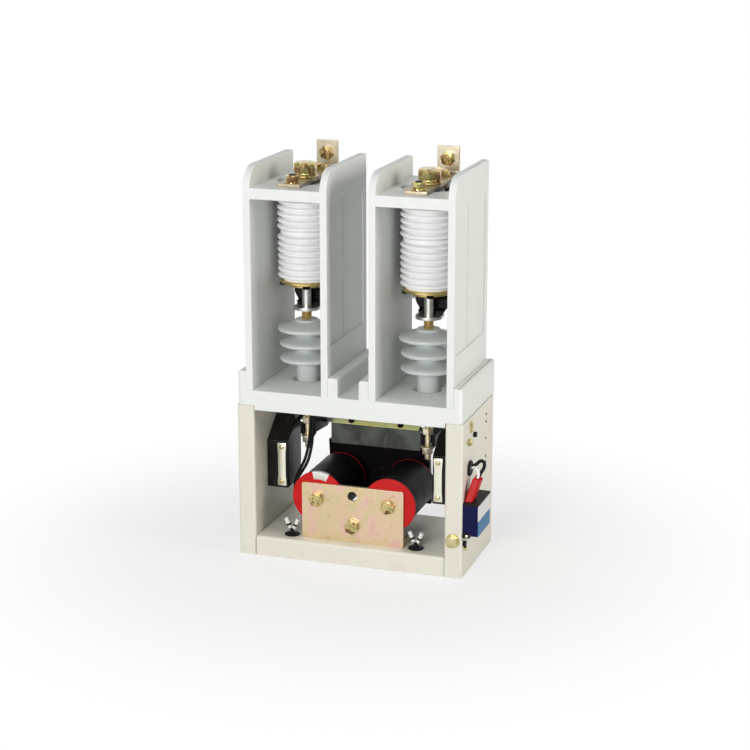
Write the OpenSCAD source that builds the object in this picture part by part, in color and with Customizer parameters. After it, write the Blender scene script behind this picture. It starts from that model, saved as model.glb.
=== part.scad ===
// Two pole medium voltage vacuum contactor, millimetres, +Z up.
// The origin is the middle of the four foot holes, on the plane that the posts stand on.
// The open side of the poles faces -Y, and the terminals face +Y.

/* [Steel frame] */
// Depth of the side posts
frame_d = 148; // [140:1:170]
// Height of the side posts
frame_h = 202; // [195:1:240]
// Width of one side post
post_w = 23; // [20:1:26]
// Thickness of the folded sheet
sheet_t = 2; // [1.5:0.5:2.5]
// Outer bend radius of the posts
post_r = 3.5; // [3:0.5:6]
// Thickness of the foot plate that closes a post below
foot_t = 3; // [2:0.5:6]
// Radius of a foot hole
foot_hole_r = 4.5; // [3:0.5:6]
// Distance between the foot holes of one post
foot_pitch = 100; // [80:1:110]
// Radius of the small holes in the outer face of a post
post_hole_r = 1.8; // [1:0.2:3]
// Distance of that row of holes from the front
post_hole_depth = 110; // [90:1:125]
// Width of the slot near the top of a post
slot_w = 4; // [3:0.5:6]
// Height of that slot
slot_h = 16; // [10:1:20]
// Distance of the slot from the front
slot_depth = 35; // [30:1:60]
// Distance of the slot from the post's top
slot_drop = 4; // [3:0.5:10]
// Height of the tray between the posts
tray_h = 26; // [22:1:28]
// Outer bend radius of the tray
tray_r = 4; // [3:0.5:6]
// Gap between the tray and a post
tray_gap = 0.9; // [0.5:0.1:0.9]

/* [Moulded base] */
// Step from the outer face of a post to the base
base_step = 1.5; // [0:0.5:3]
// Depth of the base
base_d = 157; // [150:1:180]
// Height of the base from the posts to the chamber floor
base_t = 20; // [16:1:26]
// Thickness of the chamber floor
floor_t = 12; // [8:1:14]
// Drop of the rim between the posts
rim_drop = 6; // [4:1:10]
// Width of the rim round the underside
rim_w = 10; // [6:1:14]
// Gap between the rim and a post
rim_gap = 0.5; // [0.3:0.1:0.9]
// Height of the collars beside the poles
collar_h = 25; // [15:1:40]
// Radius along the top edge of a collar
collar_r = 4; // [2:0.5:6]
// Radius of the vertical corners of the base
base_corner_r = 5; // [2:0.5:8]
// Width of the trough between the poles
trough_w = 28; // [24:1:34]
// Width of the collar between the trough and a pole
inner_collar_w = 13; // [10:0.5:16]
// Width of the collar at the outer side of a pole
outer_collar_w = 11.5; // [8:0.5:14]
// Radius of the hole for the foot of a drive insulator
foot_bore_r = 19; // [16:0.5:20]

/* [Pole housings] */
// Depth of the pole axis behind the front
axis_depth = 77; // [72:1:80]
// Outer width of one housing
pole_w = 110; // [104:1:112]
// Depth of one housing
pole_d = 155; // [150:1:160]
// Thickness of a side wall
pole_wall = 9; // [6:0.5:9]
// Thickness of the top plate
plate_t = 14; // [10:1:20]
// Radius of the round recess in the top plate
recess_r = 36; // [30:0.5:38]
// Depth of that recess
recess_depth = 4; // [2:0.5:6]
// Height of the side walls above the top plate
cheek_h = 26; // [20:1:32]
// Radius of the front top corner of a side wall
nose_r = 28; // [10:1:30]
// Radius of the rear top corner of a side wall
tail_r = 4; // [2:0.5:8]
// Thickness of the rear wall
rear_t = 8; // [6:0.5:10]
// Height of the sill under the rear window
sill_h = 48; // [40:1:54]
// Height of the bridge between the rear window and the lower terminal
bridge_h = 11.5; // [8:0.5:14]
// Depth of the recessed panel in a side wall
panel_depth = 2.5; // [1:0.5:3]
// Margin of the panel at the front and rear edges
panel_margin = 13; // [10:1:20]
// Height of the panel's lower edge above the chamber floor
panel_low = 63; // [50:1:80]
// Height of the panel's upper edge above the chamber floor
panel_high = 244; // [200:1:250]
// Width of the groove down the panel
groove_w = 3; // [2:0.5:5]
// Depth of the groove below the panel
groove_depth = 1.5; // [1:0.5:2]
// Share of the panel's width in front of the groove
groove_share = 0.42; // [0.3:0.01:0.7]

/* [Vacuum interrupter] */
// Radius of the ceramic between the ribs
ceramic_r = 30; // [27:0.5:31]
// Radius of the bore in the ceramic
ceramic_bore_r = 24; // [20:0.5:25]
// Radius of the ribs
rib_r = 36.5; // [34:0.5:40]
// Distance between ribs
rib_pitch = 8.2; // [7.5:0.1:8.4]
// Ribs in the lower group
ribs_low = 7; // [5:1:7]
// Ribs in the upper group
ribs_high = 5; // [3:1:5]
// Distance between the two groups
rib_break = 13.6; // [12:0.2:16]
// Radius of the rounded edge of a rib
rib_edge_r = 1.3; // [0.8:0.1:1.6]
// Height of a rib where it leaves the ceramic
rib_root_h = 6.4; // [5:0.2:7]
// Length of the interrupter above the ring
ceramic_h = 113; // [110:1:116]
// Radius of the ring under the ceramic
ring_r = 33.5; // [29:0.5:34]
// Height of the ring
ring_h = 8; // [6:0.5:9]
// Radius of the ring's lower step
ring_step_r = 25; // [20:0.5:28]

/* [Moving pole parts] */
// Radius of the moving stem
stem_r = 6.1; // [5:0.1:8]
// Length of the stem between its lug plate and the ring
stem_l = 28; // [24:1:34]
// Clearance of the stem in its ring
stem_gap = 0.6; // [0.3:0.1:0.9]
// Length of stem inside the interrupter
stem_in = 8; // [6:1:20]
// Radius of the lug plate
lug_r = 17; // [14:0.5:19]
// Thickness of the lug plate
lug_t = 4; // [3:0.5:6]
// Width of the lug's tongue
tongue_w = 34; // [30:1:36]
// Length of the lug's tongue behind the axis
tongue_l = 12; // [11:1:16]
// Distance from the insulator's cap to the lug plate
nut_h = 13; // [10:0.5:15]
// Width over the flats of the brass nut
nut_af = 12; // [10:0.5:16]
// Height of the insulator's cap above the chamber floor
cap_h = 80; // [78:1:82]
// Radius of the insulator's cap
cap_r = 15; // [12:0.5:18]
// Radius of the insulator's core and foot
core_r = 14; // [12:0.5:15.5]
// Radius of the top shed
top_shed_r = 38; // [34:0.5:40]
// Radius of the lower sheds
shed_r = 35.5; // [32:0.5:38]
// Distance between sheds
shed_pitch = 20; // [18:0.5:21]
// Height of the lowest shed above the chamber floor
shed_low = 28.5; // [26:0.5:30]
// Radius of the rounded edge of a shed
shed_edge_r = 2.8; // [2:0.1:3.5]
// Length of the insulator's foot below the chamber floor
foot_drop = 8; // [4:1:12]
// Radius of the drive stud
stud_r = 4; // [3.5:0.25:5]
// Width over the flats of the stud's nuts
stud_nut_af = 13; // [12:0.5:15]
// Height of a stud nut
stud_nut_h = 8; // [6:0.5:9]
// Radius of the washer under the rocker
stud_washer_r = 9; // [9:0.5:11.5]
// Height of the washer under the rocker
stud_washer_h = 2; // [1.5:0.5:3]
// Length of the stud below its lower nut
stud_end = 9; // [6:0.5:14]

/* [Terminals] */
// Width of a terminal bar
strap_w = 29; // [24:1:32]
// Thickness of a terminal bar
strap_t = 4.5; // [3:0.5:6]
// Inner bend radius of a terminal bar
strap_r = 4; // [3:0.5:6]
// Distance from the front to the upper bar
strap_front = 16; // [10:1:20]
// Depth of the upper bar's upright, front face
upright_depth = 158; // [156:0.5:162]
// Height of the uprights
upright_h = 35; // [30:1:40]
// Width over the flats of the bolt on the pole axis
main_af = 27; // [24:0.5:30]
// Head height of the bolt on the pole axis
main_head_h = 13; // [10:0.5:18]
// Height of the washers under that bolt
main_washer_h = 6; // [3:0.5:8]
// Radius of the shank of that bolt
main_shank_r = 9; // [7:0.5:10]
// Width over the flats of the small nut
small_af = 18; // [16:0.5:20]
// Height of the small nut
small_h = 10; // [8:0.5:12]
// Radius of the thread in the small nut
small_bore_r = 5.5; // [4:0.25:6.5]
// Distance of the small nut from the front
small_depth = 30; // [29:0.5:34]
// Width over the flats of the upright's bolt
upright_af = 16; // [13:0.5:18]
// Head height of the upright's bolt
upright_head_h = 7; // [5:0.5:9]
// Radius of the bolt and bore in the uprights
terminal_bore_r = 5.5; // [4:0.25:6.5]
// Distance from the axis to the lower bar's front end
lower_bar_gap = 29; // [28:1:36]
// Rise of the flexible connector from the lug to the lower bar
flex_rise = 19; // [17:0.5:21]
// Width of the flexible connector
flex_w = 46; // [38:1:50]
// Width of the flexible connector on the lug
flex_low_w = 31; // [26:1:34]
// Thickness of the flexible connector
flex_t = 4; // [3:0.5:5]
// Outer bend radius of the flexible connector
flex_r = 9; // [8:0.5:10]
// Length of the flexible connector on the lug
flex_foot = 5; // [4:0.5:5]
// Distance from the flexible connector on the lower bar to the rear wall
flex_clear = 10; // [8:0.5:12]

/* [Rocker] */
// Depth of the rocker shaft behind the front
pivot_depth = 124; // [122:1:128]
// Radius of the rocker shaft
shaft_r = 7; // [6:0.25:7]
// Clearance of the shaft in its bearings
shaft_gap = 0.25; // [0.2:0.05:0.4]
// Angle of the rocker from open to closed
close_angle = 7.2; // [5:0.1:7.5]
// Width of one rocker arm
arm_w = 20; // [16:1:22]
// Radius of the arm round the shaft
arm_hub_r = 12; // [11:0.5:13]
// Radius of the arm's round end under the stud
arm_end_r = 8; // [7:0.5:8]
// Reach of an arm's fork in front of the stud's axis
arm_tine = 1; // [0:0.5:4]
// Drop of the arm's end below the shaft
arm_drop = 3; // [2:0.5:4]
// Half height of the arm behind its end
arm_neck = 5; // [4:0.5:6]
// Clearance of the stud in the arm
stud_gap = 1.6; // [1.4:0.1:2]
// Clearance between the arm's end and the nuts
nut_gap = 0.3; // [0.2:0.1:0.5]
// Width of the rocker's hub bar
hub_w = 122; // [110:1:130]
// Depth of the rocker's hub bar
hub_d = 22; // [18:1:24]
// Distance from the coils up to the rocker's hub bar
hub_clear = 12; // [9:0.5:14]
// Height of the rocker's hub bar
hub_h = 27.5; // [24:0.5:30]
// Height of the hub bar's top above the shaft's lower line
hub_rise = 4.5; // [3:0.5:6]
// Distance from the hub bar's front to the shaft's axis
hub_front = 15; // [12:0.5:16]
// Width of the armature plate
armature_w = 140; // [130:1:160]
// Thickness of the armature plate
armature_t = 8; // [6:0.5:10]
// Height of the armature plate's lower edge
armature_low = 46; // [40:1:52]
// Gap between the closed armature and the cores
armature_gap = 1; // [0.5:0.1:2]
// Width of a bearing block
bearing_w = 12; // [8:1:16]
// Depth of a bearing block
bearing_d = 28; // [22:1:34]
// Distance from the shaft's axis to the lower edge of a bearing block
bearing_drop = 16; // [12:1:18]

/* [Magnet] */
// Depth of the yoke plate's front face
yoke_depth = 15.5; // [12:0.5:18]
// Width of the yoke plate
yoke_w = 137; // [130:1:144]
// Height of the yoke plate
yoke_h = 75; // [72:1:80]
// Thickness of the yoke plate
yoke_t = 5; // [4:0.5:8]
// Length of the yoke's foot on the tray
yoke_foot = 30; // [20:1:40]
// Corner radius of the yoke plate
yoke_r = 3; // [1:0.5:6]
// Distance between the two coil axes
coil_pitch = 96; // [92:1:100]
// Height of the coil axes
coil_h = 80; // [76:1:84]
// Radius of the coil cheeks
cheek_r = 35; // [32:0.5:36]
// Thickness of a coil cheek
cheek_t = 3; // [2:0.5:4]
// Radius of the winding
winding_r = 33; // [30:0.5:34]
// Length of a coil over its cheeks
coil_l = 93; // [84:1:96]
// Radius of the core
magnet_core_r = 16; // [12:0.5:18]
// Length of the core behind the rear cheek
core_out = 5.5; // [4:0.5:8]
// Wall of the coil's tube
tube_t = 2.4; // [1.5:0.1:3]
// Width over the flats of the yoke bolts
yoke_af = 16.5; // [13:0.5:18]
// Head height of the yoke bolts
yoke_head_h = 7; // [5:0.5:9]
// Radius of the shank of the yoke bolts
yoke_shank_r = 5; // [4:0.5:6]
// Height of the middle yoke bolt
yoke_bolt_h = 48; // [44:1:60]
// Height of the hole in the yoke plate
yoke_hole_h = 88; // [84:1:90]
// Radius of the hole in the yoke plate
yoke_hole_r = 6.5; // [4:0.5:8]

/* [Switches and leads] */
// Width of an auxiliary switch from its post
aux_w = 29; // [24:1:29]
// Depth of an auxiliary switch
aux_d = 50; // [40:1:60]
// Height of an auxiliary switch
aux_h = 92; // [84:1:96]
// Height of an auxiliary switch's lower edge
aux_low = 80; // [78:1:86]
// Depth of an auxiliary switch's front face
aux_depth = 44; // [40:1:46]
// Radius of a switch's inner top edge
aux_r = 10; // [4:1:12]
// Radius of a switch's lower rear corner
aux_round_r = 28; // [16:1:34]
// Length of the slope at a switch's front top
aux_slope_l = 36; // [24:1:42]
// Height of that slope
aux_slope_h = 28; // [16:1:32]
// Width of the terminal strip on a switch
strip_w = 12; // [8:1:14]
// Height of the terminal strip
strip_h = 58; // [50:1:60]
// Thickness of the terminal strip
strip_t = 2; // [1:0.5:3]
// Distance from the post to the terminal strip
strip_inset = 15; // [10:1:15]
// Radius of the strip's screws
strip_screw_r = 4; // [3:0.25:5]
// Distance between the lead grommets
grommet_pitch = 168; // [160:1:176]
// Depth of the grommets behind the front
grommet_depth = 20; // [16:1:24]
// Radius of a grommet's flange
grommet_r = 10; // [8:0.5:12]
// Height of a grommet's flange
grommet_h = 2; // [2:0.5:4]
// Radius of a grommet's neck
neck_r = 4.5; // [4:0.25:6]
// Height of a grommet's neck
neck_h = 9; // [6:0.5:12]
// Radius of a lead sleeve
sleeve_r = 2.4; // [1.5:0.1:2.6]
// Length of a lead sleeve
sleeve_l = 15; // [12:1:28]
// Angle between a lead sleeve and upright
sleeve_angle = 24; // [15:1:35]
// Radius of the black coil leads
coil_lead_r = 2; // [1.5:0.1:2]
// Radius of the black lead to the module
black_lead_r = 2.2; // [1.4:0.1:2.2]
// Radius of the white lead to the module
white_lead_r = 1.6; // [1.2:0.1:1.6]
// Radius of the bushing in the post that the module's leads leave
bushing_r = 10; // [9:0.5:12]
// Thickness of that bushing
bushing_t = 3; // [2:0.5:3]
// Distance of the bushing from the front
bushing_depth = 32; // [30:1:34]
// Height of the bushing
bushing_h = 137; // [135:1:139]

/* [Control module] */
// Width of the module from the post
module_w = 20.5; // [16:0.5:26]
// Depth of the module
module_d = 58; // [50:1:66]
// Height of the module's body
module_h = 40; // [36:1:48]
// Height of the module's lower edge
module_low = 57; // [52:1:60]
// Distance of the module from the front
module_front = 2.5; // [1:0.5:6]
// Height of the module's cap
module_cap_h = 3; // [2:0.5:6]
// Radius of the module's corners
module_r = 2; // [1:0.5:4]
// Width of a lead connector
plug_w = 10; // [8:0.5:10]
// Thickness of a lead connector
plug_l = 9; // [7:0.5:9]
// Length of a lead connector
plug_h = 30; // [24:1:30]
// Angle of the lead connectors to the rear
plug_lean = 19; // [10:1:25]
// Angle of the lead connectors away from the post
plug_tilt = 15; // [8:1:18]
// Distance between the lead connectors
plug_pitch = 10.5; // [10:0.5:14]
// Distance from the module's front to the first connector's axis
plug_front = 9; // [8:0.5:12]
// Distance from the post to the connectors' axes
plug_out = 5.8; // [5.8:0.2:7]
// Width over the flats of the earth bolt
earth_af = 13.5; // [13:0.5:18]
// Head height of the earth bolt
earth_head_h = 7; // [5:0.5:9]
// Radius of the earth bolt's washer
earth_washer_r = 9; // [9:0.5:10.5]
// Height of the earth bolt's washer
earth_washer_h = 2; // [1:0.5:3]
// Height of the earth bolt
earth_h = 50; // [40:1:70]

/* [Hidden] */
$fn = 64;

// Overrun of every cut, and the fit of a shank in its hole
over = 1;
fit = 0.15;
// Sides of a lead's section
lead_sides = 8;
// Corner radius of a hexagon for one unit of half its width over the flats
hex_corner = 1 / cos(30);

// Shares of the sizes that they follow
post_hole_shares = [0.6, 0.64, 0.76, 0.87, 0.92];
flex_waist_share = 0.75;
upright_bolt_share = 0.56;
nut_share = 0.75;
shed_slope_share = 0.6;
shed_rise_share = 0.5;
cap_rise_share = 0.75;
strip_mid_share = 0.353;
strip_screw_share = 0.36;
main_washer_share = 1 / 3;
plug_round_share = 0.25;

// Widths and heights that add up from the pieces
pole_pitch = pole_w + trough_w + 2 * inner_collar_w;
base_w = pole_pitch + pole_w + 2 * outer_collar_w;
frame_w = base_w + 2 * base_step;
chamber_h = cap_h + nut_h + lug_t + stem_l + ring_h + ceramic_h;

// Planes of the frame
front_y = -frame_d / 2;
post_in = frame_w / 2 - post_w;
tray_l = 2 * (post_in - tray_gap);
tray_top = tray_h;

// Planes of the mouldings
base_z = frame_h;
floor_z = base_z + base_t;
rim_x = post_in - rim_gap;
pole_x = pole_pitch / 2;
axis_y = front_y + axis_depth;
plate_z = floor_z + chamber_h;
plate_top = plate_z + plate_t;
wall_top = plate_top + cheek_h;
pole_in = pole_w / 2 - pole_wall;
rear_y = front_y + pole_d;
panel_l = pole_d - 2 * panel_margin;

// Levels of the pole parts
ring_z = plate_z - ceramic_h;
ring_low = ring_z - ring_h;
cap_z = floor_z + cap_h;
lug_z = cap_z + nut_h;
lug_top = lug_z + lug_t;
foot_z = floor_z - foot_drop;
lower_bar_top = lug_top + flex_rise;
lower_bar_z = lower_bar_top - strap_t;
strap_top = plate_top + strap_t;
upright_y = front_y + upright_depth;

// Places of the mechanism
hub_low = coil_h + cheek_r + hub_clear;
hub_top = hub_low + hub_h;
pivot_h = hub_top - hub_rise + shaft_r;
pivot_y = front_y + pivot_depth;
arm_z = pivot_h - arm_drop;
nut_top_z = arm_z + arm_end_r + nut_gap;
nut_low_z = arm_z - arm_end_r - nut_gap;
stud_low = nut_low_z - stud_washer_h - stud_nut_h - stud_end;
yoke_y = front_y + yoke_depth;
coil_y = yoke_y + yoke_t;
coil_x = coil_pitch / 2;
core_l = coil_l + core_out;
core_end = coil_y + core_l;
hub_y = pivot_y - hub_front;
yoke_bolt_places = [[-coil_x, coil_h], [coil_x, coil_h], [0, yoke_bolt_h]];
aux_y = front_y + aux_depth;
strip_mid = aux_low + aux_h * strip_mid_share;
sleeve_half = sleeve_r / cos(sleeve_angle) + fit;
module_x = frame_w / 2;
module_y = front_y + module_front;
module_top = module_low + module_h;
cap_top = module_top + module_cap_h;

// Routes of the leads, with y from the front: from the underside of the base to a coil, and,
// with x from the outer face of the right post, from the bushing to a connector
inner_coil_route = [
    [-66, 54, 209.5], [-66, 54, 190], [-66.5, 54, 167], [-67.5, 54, 149], [-70, 54, 132],
    [-75, 54, 115], [-84, 54, 99], [-90, 54, 88], [-91, 54, 78], [-87.5, 54, 71], [-80.6, 54, 69]
];
outer_coil_route = [
    [-71, 59, 209.5], [-71, 59, 190], [-71.5, 59, 167], [-73, 59, 149], [-76, 59, 132],
    [-81, 59, 115], [-89, 59, 99], [-93.5, 59, 86], [-93.5, 59, 74], [-88, 59, 64.5], [-78, 59, 61]
];
black_module_route = [
    [4.2, 33.4, 140], [8.2, 33.9, 142], [11, 35, 144.8], [13.8, 36.8, 146.3], [16.4, 38.8, 144.7],
    [17.5, 39.8, 140.6], [16.8, 38, 136], [15, 34.6, 132.4], [13.3, 32, 128]
];
white_module_route = [
    [4.2, 28.6, 138.6], [7, 27.4, 140], [9.8, 25.6, 140.2], [12.4, 24, 138.4], [14.2, 23.2, 135.2],
    [14.5, 23.1, 131.9], [13.3, 21.5, 128]
];

// Direction of a route at point i, and one side of it carried along without twist
function heading(route, i) =
    let (d = route[min(i + 1, len(route) - 1)] - route[max(i - 1, 0)]) d / norm(d);
function square_to(v, t) = let (d = v - (v * t) * t) d / norm(d);
function sides(route) = [
    for (i = 0, v = square_to([0, 1, 1], heading(route, 0));
         i < len(route);
         i = i + 1, v = square_to(v, heading(route, min(i, len(route) - 1)))) v
];

// Rectangle with four round corners, about the origin
module round_rect(w, d, r) {
    square([w - 2 * r, d], center = true);
    square([w, d - 2 * r], center = true);
    for (x = [-1, 1], y = [-1, 1])
        translate([x * (w / 2 - r), y * (d / 2 - r)])
            circle(r);
}

// Bar with one round corner at its far top, from the origin
module shoulder(w, h, r) {
    square([w - r, h]);
    square([w, h - r]);
    translate([w - r, h - r])
        circle(r);
}

// An outline in Y and Z, drawn out along X about x = 0
module along_x(l) {
    translate([-l / 2, 0, 0])
        rotate([90, 0, 90])
            linear_extrude(l)
                children();
}

// An outline in X and Z, drawn out along Y from y0
module along_y(y0, l) {
    translate([0, y0 + l, 0])
        rotate([90, 0, 0])
            linear_extrude(l)
                children();
}

module hex(af, h) {
    cylinder(r = af / 2 * hex_corner, h = h, $fn = 6);
}

module at_pole(side) {
    translate([side * pole_x, axis_y, 0])
        children();
}

// Quarter of a flat ring between two radii, in the quadrant of sx and sy
module quarter(r_in, r_out, sx, sy) {
    intersection() {
        difference() {
            circle(r_out);
            circle(r_in);
        }
        translate([min(sx, 0) * r_out, min(sy, 0) * r_out])
            square(r_out);
    }
}

// Folded post, closed below by a foot plate with two holes
module side_post(side) {
    color("linen")
        translate([side * (frame_w - post_w) / 2, 0, 0])
            difference() {
                linear_extrude(frame_h)
                    round_rect(post_w, frame_d, post_r);
                translate([0, 0, foot_t])
                    linear_extrude(frame_h)
                        round_rect(post_w - 2 * sheet_t, frame_d - 2 * sheet_t, post_r - sheet_t);
                for (y = [-1, 1])
                    translate([0, y * foot_pitch / 2, -over])
                        cylinder(r = foot_hole_r, h = foot_t + 2 * over);
                mirror([side < 0 ? 1 : 0, 0, 0])
                    translate([post_w / 2 - sheet_t, front_y, 0])
                        post_cuts();
            }
}

// Cuts through the outer sheet of a post: a slot and a row of small holes
module post_cuts() {
    translate([-over, slot_depth - slot_w / 2, frame_h - slot_drop - slot_h])
        cube([sheet_t + 2 * over, slot_w, slot_h]);
    for (share = post_hole_shares)
        translate([-over, post_hole_depth, frame_h * share])
            rotate([0, 90, 0])
                cylinder(r = post_hole_r, h = sheet_t + 2 * over);
}

// Channel outline with two bends at the top
module tray_outline(d, h, r) {
    translate([-d / 2, 0])
        square([d, h - r]);
    translate([-d / 2 + r, 0])
        square([d - 2 * r, h]);
    for (y = [-1, 1])
        translate([y * (d / 2 - r), h - r])
            circle(r);
}

module base_tray() {
    color("linen")
        difference() {
            along_x(tray_l)
                difference() {
                    tray_outline(frame_d, tray_h, tray_r);
                    translate([0, -over])
                        tray_outline(frame_d - 2 * sheet_t, tray_h - sheet_t + over, tray_r - sheet_t);
                }
            for (x = [-1, 1])
                translate([x * grommet_pitch / 2, front_y + grommet_depth, tray_h - sheet_t - over])
                    cylinder(r = neck_r + fit, h = sheet_t + 2 * over);
        }
}

module base_outline() {
    translate([-base_w / 2, base_z])
        square([base_w, base_t]);
    translate([-rim_x, base_z - rim_drop])
        square([2 * rim_x, rim_drop + over]);
    for (side = [-1, 1])
        mirror([side < 0 ? 1 : 0, 0]) {
            translate([pole_x + pole_w / 2, floor_z - over])
                shoulder(outer_collar_w, collar_h + over, collar_r);
            translate([pole_x - pole_w / 2, floor_z - over])
                mirror([1, 0])
                    shoulder(inner_collar_w, collar_h + over, collar_r);
        }
}

// One moulding: slab, rim and pocket below, four collars that hold the housings
module moulded_base() {
    color("whitesmoke")
        difference() {
            intersection() {
                along_y(front_y, base_d)
                    base_outline();
                translate([0, front_y + base_d / 2, 0])
                    linear_extrude(wall_top)
                        round_rect(base_w, base_d, base_corner_r);
            }
            translate([-rim_x + rim_w, front_y + rim_w, base_z - rim_drop - over])
                cube([2 * (rim_x - rim_w), base_d - 2 * rim_w, base_t - floor_t + rim_drop + over]);
            for (side = [-1, 1])
                at_pole(side)
                    translate([0, 0, base_z - over])
                        cylinder(r = foot_bore_r, h = base_t + 2 * over);
        }
}

// Side view of a housing, with the round nose at the front
module housing_side() {
    h = wall_top - floor_z;
    translate([front_y, floor_z]) {
        square([pole_d, h - nose_r]);
        translate([nose_r, 0])
            square([pole_d - nose_r, h - tail_r]);
        translate([nose_r, 0])
            square([pole_d - nose_r - tail_r, h]);
        translate([nose_r, h - nose_r])
            circle(nose_r);
        translate([pole_d - tail_r, h - tail_r])
            circle(tail_r);
    }
}

module housing_front() {
    for (x = [-1, 1])
        translate([x * (pole_w - pole_wall) / 2 - pole_wall / 2, floor_z])
            square([pole_wall, wall_top - floor_z]);
    translate([-pole_w / 2, plate_z])
        square([pole_w, plate_t]);
}

// Recess in both outer faces, with a groove down it
module housing_panels() {
    for (x = [-1, 1]) {
        translate([x * (pole_w / 2 + over - (panel_depth + over) / 2), 0, 0])
            along_x(panel_depth + over)
                translate([front_y + panel_margin, floor_z + panel_low])
                    square([panel_l, panel_high - panel_low]);
        translate([x * (pole_w / 2 - panel_depth - groove_depth / 2), 0, 0])
            along_x(groove_depth + fit)
                translate([front_y + panel_margin + panel_l * groove_share, floor_z + panel_low])
                    square([groove_w, panel_high - panel_low]);
    }
}

// Housing: two side walls, top plate, rear wall with its window and the slot for the lower bar
module pole_housing(side) {
    color("whitesmoke")
        translate([side * pole_x, 0, 0])
            difference() {
                union() {
                    intersection() {
                        along_y(front_y, pole_d)
                            housing_front();
                        along_x(pole_w)
                            housing_side();
                    }
                    along_y(rear_y - rear_t, rear_t) {
                        translate([-pole_in - over, floor_z])
                            square([2 * (pole_in + over), sill_h]);
                        translate([-pole_in - over, lower_bar_z - bridge_h])
                            square([2 * (pole_in + over), plate_z + over - lower_bar_z + bridge_h]);
                    }
                }
                housing_panels();
                translate([0, axis_y, plate_top - recess_depth])
                    cylinder(r = recess_r, h = recess_depth + over);
                translate([0, axis_y, plate_z - over])
                    cylinder(r = main_shank_r + fit, h = plate_t + 2 * over);
                translate([-strap_w / 2 - fit, rear_y - rear_t - over, lower_bar_z - fit])
                    cube([strap_w + 2 * fit, rear_t + 2 * over, strap_t + strap_r + 2 * fit]);
                translate([0, rear_y - rear_t - over, lower_bar_top + upright_h * upright_bolt_share])
                    rotate([-90, 0, 0])
                        cylinder(r = terminal_bore_r + over, h = rear_t + 2 * over);
            }
}

// Height of rib i above the ring; the upper group follows after a wider break
function rib_z(i) = rib_root_h + i * rib_pitch + (i >= ribs_low ? rib_break - rib_pitch : 0);

module rib_outline() {
    polygon([
        [ceramic_bore_r, -rib_root_h / 2],
        [ceramic_r, -rib_root_h / 2],
        [rib_r - rib_edge_r, -rib_edge_r],
        [rib_r - rib_edge_r, rib_edge_r],
        [ceramic_r, rib_root_h / 2],
        [ceramic_bore_r, rib_root_h / 2]
    ]);
    translate([rib_r - rib_edge_r, 0])
        circle(rib_edge_r);
}

// Ceramic body of the vacuum interrupter
module interrupter(side) {
    color("white")
        at_pole(side)
            translate([0, 0, ring_z])
                rotate_extrude() {
                    translate([ceramic_bore_r, 0])
                        square([ceramic_r - ceramic_bore_r, ceramic_h]);
                    for (i = [0:ribs_low + ribs_high - 1])
                        translate([0, rib_z(i)])
                            rib_outline();
                }
}

module interrupter_ring(side) {
    color("goldenrod")
        at_pole(side)
            translate([0, 0, ring_low])
                difference() {
                    union() {
                        cylinder(r = ring_step_r, h = ring_h);
                        translate([0, 0, ring_h / 2])
                            cylinder(r = ring_r, h = ring_h / 2);
                    }
                    translate([0, 0, -over])
                        cylinder(r = stem_r + stem_gap, h = ring_h + 2 * over);
                }
}

// Bar with an upright end, as an outline in Y and Z
module bar_outline(y0, y1, h) {
    bend = strap_r + strap_t;
    translate([y0, 0])
        square([y1 - strap_r - y0, strap_t]);
    translate([y1 - strap_r, bend])
        quarter(strap_r, bend, 1, -1);
    translate([y1, bend])
        square([strap_t, h - bend]);
}

// Upper terminal: flat on the top plate, turned up behind it
module upper_terminal(side) {
    color("burlywood")
        translate([side * pole_x, 0, 0])
            difference() {
                translate([0, 0, plate_top])
                    along_x(strap_w)
                        bar_outline(front_y + strap_front, upright_y, upright_h + strap_t);
                translate([0, axis_y, plate_top - over])
                    cylinder(r = main_shank_r + fit, h = strap_t + 2 * over);
                translate([0, upright_y - over, strap_top + upright_h * upright_bolt_share])
                    rotate([-90, 0, 0])
                        cylinder(r = terminal_bore_r + fit, h = strap_t + 2 * over);
            }
}

// Lower terminal: passes through the rear wall over the window, turned up behind it
module lower_terminal(side) {
    color("burlywood")
        translate([side * pole_x, 0, 0])
            difference() {
                translate([0, 0, lower_bar_z])
                    along_x(strap_w)
                        bar_outline(axis_y + lower_bar_gap, rear_y, upright_h + strap_t);
                translate([0, rear_y - over, lower_bar_top + upright_h * upright_bolt_share])
                    rotate([-90, 0, 0])
                        cylinder(r = terminal_bore_r, h = strap_t + 2 * over);
            }
}

// Bolt on the pole axis, small nut in front of it, bolt in the upright
module terminal_bolts(side) {
    color("silver")
        translate([side * pole_x, 0, 0]) {
            translate([0, axis_y, 0]) {
                translate([0, 0, plate_z])
                    cylinder(r = main_shank_r, h = plate_t + strap_t + over);
                translate([0, 0, strap_top])
                    cylinder(r = main_af / 2 * hex_corner, h = main_washer_h * main_washer_share);
                translate([0, 0, strap_top + main_washer_h * main_washer_share])
                    cylinder(r = main_af / 2, h = main_washer_h * (1 - main_washer_share));
                translate([0, 0, strap_top + main_washer_h])
                    hex(main_af, main_head_h);
            }
            translate([0, front_y + small_depth, strap_top])
                difference() {
                    hex(small_af, small_h);
                    translate([0, 0, -over])
                        cylinder(r = small_bore_r, h = small_h + 2 * over);
                }
            translate([0, upright_y + strap_t, strap_top + upright_h * upright_bolt_share])
                rotate([90, 0, 0]) {
                    cylinder(r = terminal_bore_r, h = strap_t + over);
                    translate([0, 0, strap_t])
                        hex(upright_af, upright_head_h);
                }
        }
}

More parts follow.
